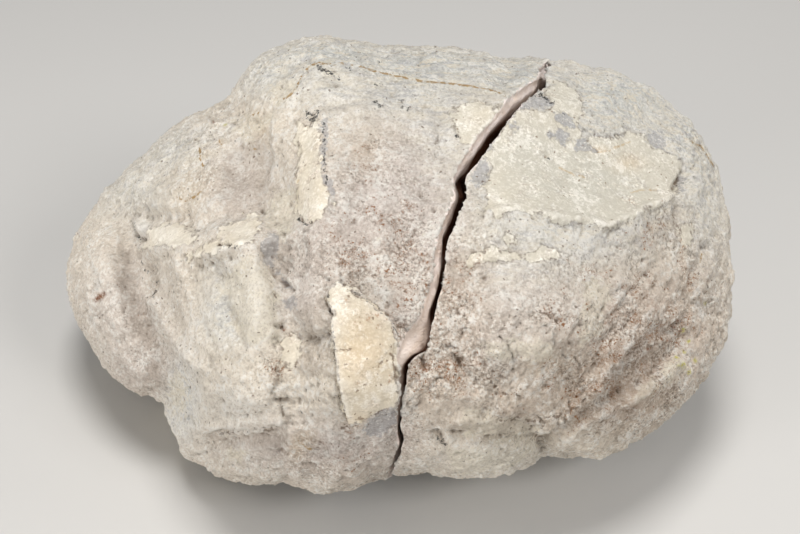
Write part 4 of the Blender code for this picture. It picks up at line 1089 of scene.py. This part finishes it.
def new_group(name, inputs, outputs):
    """An empty node group with these sockets, and its two end nodes."""
    group = bpy.data.node_groups.new(name, "ShaderNodeTree")
    for socket, kind, value in inputs:
        made = group.interface.new_socket(socket, in_out="INPUT", socket_type="NodeSocket" + kind)
        if value is not None:
            made.default_value = value
    for socket, kind in outputs:
        group.interface.new_socket(socket, in_out="OUTPUT", socket_type="NodeSocket" + kind)
    return group, group.nodes.new("NodeGroupInput").outputs, group.nodes.new("NodeGroupOutput").inputs


def use_group(tree, group, output, **inputs):
    node = tree.nodes.new("ShaderNodeGroup")
    node.node_tree = group
    for name, value in inputs.items():
        fill(tree, node.inputs[name.replace("_", " ")], value)
    return node.outputs[output]


# %% [markdown]
# ## Ragged edges, grain and specks
# Effects that come back in many parts of the finish are node groups. `ragged patch` turns a stored
# depth into a mask with a torn edge. `stone grain` gives light and dark grains, and a height for
# them. `specks` scatters single dots. `rust web` gives dots and short curly threads that stand in clumps.

# %% Group: ragged patch
ragged_patch, given, result = new_group(
    "ragged patch",
    [("Place", "Vector", None), ("Depth", "Float", 0.0), ("Tear", "Float", 1.0), ("Size", "Float", 2.0),
     ("Softness", "Float", 0.3)],
    [("Mask", "Float")])
torn = noise_value(ragged_patch, given["Place"], given["Size"], 4.0, 0.65)
shift = times(ragged_patch, calc(ragged_patch, "SUBTRACT", torn, 0.5), given["Tear"])
moved_depth = calc(ragged_patch, "MULTIPLY_ADD", shift, 4.0, given["Depth"])
low_edge = times(ragged_patch, given["Softness"], -1.0)
fill(ragged_patch, result["Mask"], between(ragged_patch, moved_depth, low_edge, given["Softness"]))
print("made", ragged_patch.name)

# %% Group: stone grain
stone_grain, given, result = new_group(
    "stone grain",
    [("Place", "Vector", None), ("Size", "Float", 0.5)],
    [("Tone", "Float"), ("Height", "Float")])
coarse = noise_value(stone_grain, given["Place"], times(stone_grain, given["Size"], 3.4), 2.0)
fine = noise_value(stone_grain, given["Place"], given["Size"], 2.0, 0.7)
cells = add_node(stone_grain, "ShaderNodeTexVoronoi",
                 {"Vector": given["Place"], "Scale": calc(stone_grain, "DIVIDE", 0.7 / MM, given["Size"])},
                 "Distance")
tone = calc(stone_grain, "ADD", calc(stone_grain, "SUBTRACT", fine, 0.5),
            times(stone_grain, calc(stone_grain, "SUBTRACT", coarse, 0.5), 0.7))
fill(stone_grain, result["Tone"], times(stone_grain, tone, 2.6))
rounded = calc(stone_grain, "MULTIPLY_ADD", cells, -0.5, fine)
fill(stone_grain, result["Height"], calc(stone_grain, "ADD", rounded, coarse))
print("made", stone_grain.name)

# %% Group: specks
DOT_BEND = (0.9 * MM,) * 3  # keeps the dots from being round
specks, given, result = new_group(
    "specks",
    [("Place", "Vector", None), ("Spacing", "Float", 1.5), ("Radius", "Float", 0.25),
     ("Share", "Float", 0.3)],
    [("Mask", "Float")])
bent = noise_value(specks, given["Place"], 0.8, 2.0, output="Color")
bent_place = add_node(specks, "ShaderNodeVectorMath",
                      {0: bent, 1: DOT_BEND, 2: given["Place"]}, operation="MULTIPLY_ADD")
dots = specks.nodes.new("ShaderNodeTexVoronoi")
fill(specks, dots.inputs["Vector"], bent_place)
fill(specks, dots.inputs["Scale"], calc(specks, "DIVIDE", 1.0 / MM, given["Spacing"]))
lot = add_node(specks, "ShaderNodeSeparateColor", {"Color": dots.outputs["Color"]}, "Red")
size_lot = add_node(specks, "ShaderNodeSeparateColor", {"Color": dots.outputs["Color"]}, "Green")
own_radius = times(specks, given["Radius"], calc(specks, "MULTIPLY_ADD", size_lot, 1.0, 0.4))
inner = times(specks, own_radius, 0.6)
round_dot = calc(specks, "SUBTRACT", 1.0, between(specks, dots.outputs["Distance"], inner, own_radius))
fill(specks, result["Mask"],
     times(specks, round_dot, calc(specks, "LESS_THAN", lot, given["Share"])))
print("made", specks.name)

# %% Group: rust web
rust_web, given, result = new_group(
    "rust web", [("Place", "Vector", None), ("Amount", "Float", 0.5)], [("Mask", "Float")])
level = calc(rust_web, "MULTIPLY_ADD", given["Amount"], -0.2, 0.62)
clump = noise_value(rust_web, given["Place"], 4.0, 5.0, 0.7)
in_clump = between(rust_web, calc(rust_web, "SUBTRACT", clump, level), 0.0, 0.1)
curl = calc(rust_web, "ABSOLUTE",
            calc(rust_web, "SUBTRACT", noise_value(rust_web, given["Place"], 2.0, 5.0, 0.7), 0.5))
thread = between(rust_web, curl, 0.018, 0.005)
dot = between(rust_web, noise_value(rust_web, given["Place"], 0.55, 1.0), 0.6, 0.66)
fill(rust_web, result["Mask"], times(rust_web, calc(rust_web, "MAXIMUM", thread, dot), in_clump))
print("made", rust_web.name)

# %% [markdown]
# ## The skin
# Bare stone is a warm, speckled grey that turns cooler on top and browner low down, with long pale flecks
# where it is cool. Soft pale zones lighten it: partly its own tone, and partly painted light on faces
# turned down and away from the lamps. Over it lie a thin film and then the clay, cream and dull, with a
# painted shadow along its edge. Grey quartz shows through where the clay fell off. A faint veil of painted
# shade darkens some bands in hollows and under overhangs. Rust stands in dots and curly threads in the
# rough parts, and black ore, ochre and hairline cracks run in thin lines. Creases are darkened with painted
# shade, and ridges are lightened with a painted highlight. Each layer is mixed over the one below by its
# own mask. A ramp has two noise values, where a grain starts and where it is full.

# %% Colours of the skin
WARM_STONE = paint(235, 224, 207)
COOL_STONE = paint(217, 219, 215)
MAUVE_STONE = paint(219, 208, 201)
BROWN_STONE = paint(202, 182, 163)
SHADE_VEIL = paint(235, 233, 232)
GOLD_STONE = paint(206, 180, 142)
BARE_QUARTZ = paint(174, 174, 178)
FILM = paint(236, 227, 208)
CLAY = paint(206, 198, 182)
CLAY_SHADE = paint(202, 192, 173)
COOL_CLAY = paint(177, 175, 165)
PALE_GRAIN_AND_HIGHLIGHT = paint(250, 247, 240)
DUSKY_GRAIN = paint(132, 116, 102)
DIRT_AND_SHADE = paint(112, 90, 70)
RUST = paint(148, 94, 40)
OCHRE = paint(168, 130, 56)
YELLOW = paint(200, 194, 66)
RED_BROWN = paint(126, 74, 34)
DARK_ORE = paint(48, 46, 44)

# %% Ramps of the skin
PALE_MOTTLE, DUSKY_MOTTLE = (0.51, 0.59), (0.475, 0.39)
LONG_FLECK, LONG_GAP = (0.5, 0.58), (0.46, 0.38)
BRIGHT_GRIT, DARK_GRIT = (0.56, 0.63), (0.46, 0.39)
CREASE_SHADE, RIDGE_HIGHLIGHT = (0.06, 0.24), (-0.06, -0.25)  # hollowness, as stored on the mesh
BUMP_HEIGHT = 0.5 * MM
print("grains start at", PALE_MOTTLE[0], DUSKY_MOTTLE[0], BRIGHT_GRIT[0], DARK_GRIT[0])

# %% Skin: the noise that the layers share
skin, tree, shader, place = new_material("weathered_skin")
grey, brown, gold, pale_and_lit = (attribute(tree, name) for name in ("grey", "brown", "gold", "pale"))

broad_tone = calc(tree, "SUBTRACT", noise_value(tree, place, 7.0, 5.0), 0.5)
mottle = calc(tree, "ADD", noise_value(tree, place, 1.5, 8.0, 0.85), times(tree, broad_tone, 0.4))
grit = noise_value(tree, place, 0.6, 2.0, 0.6)
worn = calc(tree, "MAXIMUM", attribute(tree, "rust"), brown)
patchy = between(tree, noise_value(tree, place, 11.0, 5.0, 0.6), 0.4, 0.6)
contrast = calc(tree, "MULTIPLY_ADD", times(tree, worn, patchy), 0.75, 0.25)
print("shared noise:", len(tree.nodes), "nodes")

# %% Skin: tints and grains of the bare stone
colour = layer(tree, WARM_STONE, COOL_STONE, grey)
colour = layer(tree, colour, MAUVE_STONE, attribute(tree, "mauve"))
colour = layer(tree, colour, BROWN_STONE, brown, 0.8)
colour = layer(tree, colour, GOLD_STONE, gold, 0.6)
# Pale zones: partly the stone's own pale tone, and partly painted light on faces turned away from the
# lamps.
colour = layer(tree, colour, PALE_GRAIN_AND_HIGHLIGHT, pale_and_lit, 0.85)
pale = between(tree, mottle, *PALE_MOTTLE)
colour = layer(tree, colour, PALE_GRAIN_AND_HIGHLIGHT, pale, 0.7)
dusky = times(tree, between(tree, mottle, *DUSKY_MOTTLE), contrast)
colour = layer(tree, colour, DUSKY_GRAIN, dusky, 0.75)
stretched = add_node(tree, "ShaderNodeVectorMath", {0: place, 1: (0.35, 1.0, 1.0)}, operation="MULTIPLY")
long_flecks = noise_value(tree, stretched, 1.8, 5.0, 0.7)
fleck = times(tree, between(tree, long_flecks, *LONG_FLECK), grey)
colour = layer(tree, colour, FILM, fleck, 0.8)
gap = times(tree, between(tree, long_flecks, *LONG_GAP), grey)
colour = layer(tree, colour, BARE_QUARTZ, gap, 0.6)
print("bare stone:", len(tree.nodes), "nodes")

# %% Skin: grey quartz, film and clay
bare = use_group(tree, ragged_patch, "Mask", Place=place, Depth=attribute(tree, "bare"), Tear=1.2,
                 Size=2.0, Softness=0.3)
not_bare = calc(tree, "SUBTRACT", 1.0, bare)
colour = layer(tree, colour, BARE_QUARTZ, bare, 0.6)

clay_clouds = between(tree, noise_value(tree, place, 3.0, 7.0, 0.7), 0.4, 0.62)
clay_colour = layer(tree, CLAY, CLAY_SHADE, clay_clouds)
clay_colour = layer(tree, clay_colour, COOL_CLAY, grey, 0.95)
clay_colour = layer(tree, clay_colour, GOLD_STONE, gold, 0.7)
# The pale zones lighten the clay too: partly its own tone, and partly painted light.
clay_colour = layer(tree, clay_colour, PALE_GRAIN_AND_HIGHLIGHT, pale_and_lit, 0.35)
clay_colour = layer(tree, clay_colour, PALE_GRAIN_AND_HIGHLIGHT, pale, 0.4)

film = use_group(tree, ragged_patch, "Mask", Place=place, Depth=attribute(tree, "film"), Tear=1.8,
                 Size=2.6, Softness=0.8)
colour = layer(tree, colour, FILM, film, calc(tree, "MULTIPLY_ADD", pale, 0.35, 0.6))

clay_depth = attribute(tree, "clay")
clay = use_group(tree, ragged_patch, "Mask", Place=place, Depth=clay_depth, Tear=1.5, Size=2.4,
                 Softness=0.15)
clay = times(tree, clay, not_bare)
thin = between(tree, noise_value(tree, place, 4.0, 7.0, 0.72), 0.5, 0.64)
thin = times(tree, thin, calc(tree, "SUBTRACT", 1.0, pale_and_lit))
cover = times(tree, clay, calc(tree, "MULTIPLY_ADD", thin, -0.5, 0.95))
# Painted shadow: a dark, broken fringe just outside the clay's edge, where the raised lip of the clay
# throws shade.
clay_edge_shadow = use_group(tree, ragged_patch, "Mask", Place=place, Depth=calc(tree, "ADD", clay_depth, 0.4),
                   Tear=1.5, Size=2.4, Softness=0.3)
clay_edge_shadow = times(tree, clay_edge_shadow, times(tree, between(tree, grit, 0.58, 0.44), not_bare))
colour = layer(tree, colour, DIRT_AND_SHADE, clay_edge_shadow, 0.6)
colour = layer(tree, colour, clay_colour, cover)
print("clay:", len(tree.nodes), "nodes")

# %% Skin: grit, veil, rust and pores
stony = calc(tree, "MULTIPLY_ADD", clay, -0.75, 1.0)
bright_grit = times(tree, between(tree, grit, *BRIGHT_GRIT),
                    times(tree, stony, calc(tree, "MULTIPLY_ADD", patchy, 0.6, 0.4)))
colour = layer(tree, colour, PALE_GRAIN_AND_HIGHLIGHT, bright_grit, 0.75)
dark_grit = times(tree, times(tree, between(tree, grit, *DARK_GRIT), contrast), stony)
colour = layer(tree, colour, DUSKY_GRAIN, dark_grit, 0.85)

# Painted shade: a veil that darkens the bands in hollows and under overhangs.
shade = use_group(tree, ragged_patch, "Mask", Place=place, Depth=attribute(tree, "shade"), Tear=2.2,
                  Size=4.0, Softness=1.6)
colour = mix_colour(tree, times(tree, shade, stony), colour, SHADE_VEIL, "MULTIPLY")

rust = use_group(tree, rust_web, "Mask", Place=place, Amount=attribute(tree, "rust"))
colour = layer(tree, colour, RUST, rust, calc(tree, "MULTIPLY_ADD", clay, -0.3, 0.9))
pores = use_group(tree, specks, "Mask", Place=place, Spacing=1.2, Radius=0.2, Share=0.3)
colour = layer(tree, colour, DIRT_AND_SHADE, pores, 0.75)
print("grit and rust:", len(tree.nodes), "nodes")


# %% Skin: thin lines and small spots
def thin_run(name, half_width, **raggedness):
    """A mask along the runs whose distance is stored under this name."""
    depth = calc(tree, "SUBTRACT", half_width, attribute(tree, name))
    return use_group(tree, ragged_patch, "Mask", Place=place, Depth=depth, **raggedness)


stain = thin_run("stain", 0.2, Tear=0.25, Size=1.4, Softness=0.1)
colour = layer(tree, colour, OCHRE, stain, calc(tree, "MULTIPLY_ADD", clay, -0.45, 0.8))
line = thin_run("line", 0.2, Tear=0.5, Size=1.1, Softness=0.1)
colour = layer(tree, colour, DIRT_AND_SHADE, line, 0.7)
colour = layer(tree, colour, YELLOW, attribute(tree, "yellow"), between(tree, grit, 0.42, 0.5))
colour = layer(tree, colour, RED_BROWN, attribute(tree, "red"), between(tree, grit, 0.38, 0.48))
ore = thin_run("dark", 0.1, Tear=0.75, Size=0.9, Softness=0.12)
ore_grain = calc(tree, "MULTIPLY_ADD", between(tree, grit, 0.4, 0.5), 0.6, 0.35)
colour = layer(tree, colour, DARK_ORE, ore, ore_grain)
print("lines and spots:", len(tree.nodes), "nodes")

# %% Skin: creases, ridges and bumps
hollow = attribute(tree, "hollow")
# Painted shade in the creases and a painted highlight on the ridges, both taken from the stored hollowness.
colour = layer(tree, colour, DIRT_AND_SHADE, between(tree, hollow, *CREASE_SHADE), 0.75)
colour = layer(tree, colour, PALE_GRAIN_AND_HIGHLIGHT, between(tree, hollow, *RIDGE_HIGHLIGHT), 0.5)
fill(tree, shader.inputs["Base Color"], colour)
fill(tree, shader.inputs["Roughness"], calc(tree, "MULTIPLY_ADD", clay, 0.15, 0.78))

stone_height = times(tree, calc(tree, "MULTIPLY_ADD", mottle, 2.2, grit), stony)
clay_height = times(tree, noise_value(tree, place, 3.2, 6.0, 0.7), times(tree, clay, 1.6))
height = calc(tree, "ADD", stone_height, clay_height)
fill(tree, shader.inputs["Normal"],
     add_node(tree, "ShaderNodeBump", {"Strength": 1.0, "Distance": BUMP_HEIGHT, "Height": height}))
shader.inputs["Specular IOR Level"].default_value = 0.3
print("made", skin.name, "with", len(tree.nodes), "nodes")

# %% [markdown]
# ## The broken faces
# Broken quartz is finer than the skin: mauve-grey and a little waxy near the rim, cloudy, with thin bands
# that follow the skin, and dark brown deeper below the rim. The distance to the rim, stored on the mesh,
# drives the bands and the dark brown, and the brown zones of the skin go on into the break.

# %% Build the broken face material
RIM_QUARTZ = paint(219, 209, 204)
BAND_QUARTZ = paint(206, 193, 184)
DEEP_BROWN = paint(104, 64, 38)
BROWN_STARTS = (5.5, 8.5)  # mm below the rim, where the brown starts and where it is full
BREAK_GRAIN = 0.45  # mm

broken_face, tree, shader, place = new_material("broken_face")
rim = attribute(tree, "rim")
wavy_rim = calc(tree, "MULTIPLY_ADD", noise_value(tree, place, 8.0), 4.0, rim)
band = calc(tree, "SINE", times(tree, wavy_rim, 2.6))
colour = layer(tree, RIM_QUARTZ, BAND_QUARTZ, between(tree, band, -0.4, 1.0))
cloudy = between(tree, noise_value(tree, place, 3.5, 6.0, 0.7), 0.5, 0.62)
colour = layer(tree, colour, BROWN_STONE, cloudy, 0.4)
colour = layer(tree, colour, BROWN_STONE, attribute(tree, "brown"), 0.9)
colour = layer(tree, colour, DEEP_BROWN, between(tree, wavy_rim, *BROWN_STARTS))
grain_tone = use_group(tree, stone_grain, "Tone", Place=place, Size=BREAK_GRAIN)
grain_height = use_group(tree, stone_grain, "Height", Place=place, Size=BREAK_GRAIN)
colour = layer(tree, colour, PALE_GRAIN_AND_HIGHLIGHT, between(tree, grain_tone, 0.2, 0.8), 0.3)
fill(tree, shader.inputs["Base Color"], colour)
shader.inputs["Roughness"].default_value = 0.6
fill(tree, shader.inputs["Normal"],
     add_node(tree, "ShaderNodeBump", {"Strength": 0.7, "Distance": 0.3 * MM, "Height": grain_height}))
print("made", broken_face.name)

# %% Give both halves their finish
for node, blank in blanks.items():
    blank.data.materials.clear()  # this also forgets which face had which material, so it comes first
    blank.data.materials.append(skin)
    blank.data.materials.append(broken_face)
    store_markings(blank, node)
    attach(blank, "root")
    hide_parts(node)

# %% [markdown]
# ## Floor and light
# The stone stands on a plain pale floor. A soft lamp above makes the top bright, and one low on the left
# lights that end across its grain, so the relief shows. A weaker one in front on the right fills the
# front, and the weakest keeps the right end from going dull. A faint even sky opens the shadows.

# %% Floor
FLOOR_SIZE = 3.0  # m
bpy.ops.mesh.primitive_plane_add(size=FLOOR_SIZE, location=(0.0, 0.0, 0.0))
floor = bpy.context.object
floor.name = "floor"
floor_paint = bpy.data.materials.new("floor_paint")
floor_paint.use_nodes = True
floor_shader = floor_paint.node_tree.nodes["Principled BSDF"]
floor_shader.inputs["Base Color"].default_value = paint(190, 189, 187)
floor_shader.inputs["Roughness"].default_value = 0.7
floor.data.materials.append(floor_paint)

# %% Lights
LIGHTS = {  # place, size in metres, power in watts
    "soft_top": ((0.0, -0.1, 0.85), 0.3, 5.4),
    "soft_left": ((-0.7, -0.5, 0.15), 0.4, 5.4),
    "soft_right": ((0.8, -0.2, 0.4), 0.4, 1.4),
    "soft_front": ((0.5, -0.6, 0.65), 0.3, 3.7),
}
LAMP_COLOUR = (1.0, 0.98, 0.955)
SKY = 0.28
for name, (spot, size, power) in LIGHTS.items():
    lamp = bpy.data.objects.new(name, bpy.data.lights.new(name, "AREA"))
    bpy.context.scene.collection.objects.link(lamp)
    lamp.data.shape = "DISK"
    lamp.data.size = size
    lamp.data.energy = power
    lamp.data.color = LAMP_COLOUR
    lamp.location = spot
    lamp.rotation_euler = (Vector(spot) - SIGHT_POINT).to_track_quat("Z", "Y").to_euler()
    print(name, "at", spot)

world = bpy.data.worlds.new("studio")
world.use_nodes = True
world.node_tree.nodes["Background"].inputs["Color"].default_value = (1.0, 1.0, 1.0, 1.0)
world.node_tree.nodes["Background"].inputs["Strength"].default_value = SKY
bpy.context.scene.world = world
bpy.context.scene.view_settings.view_transform = "Standard"
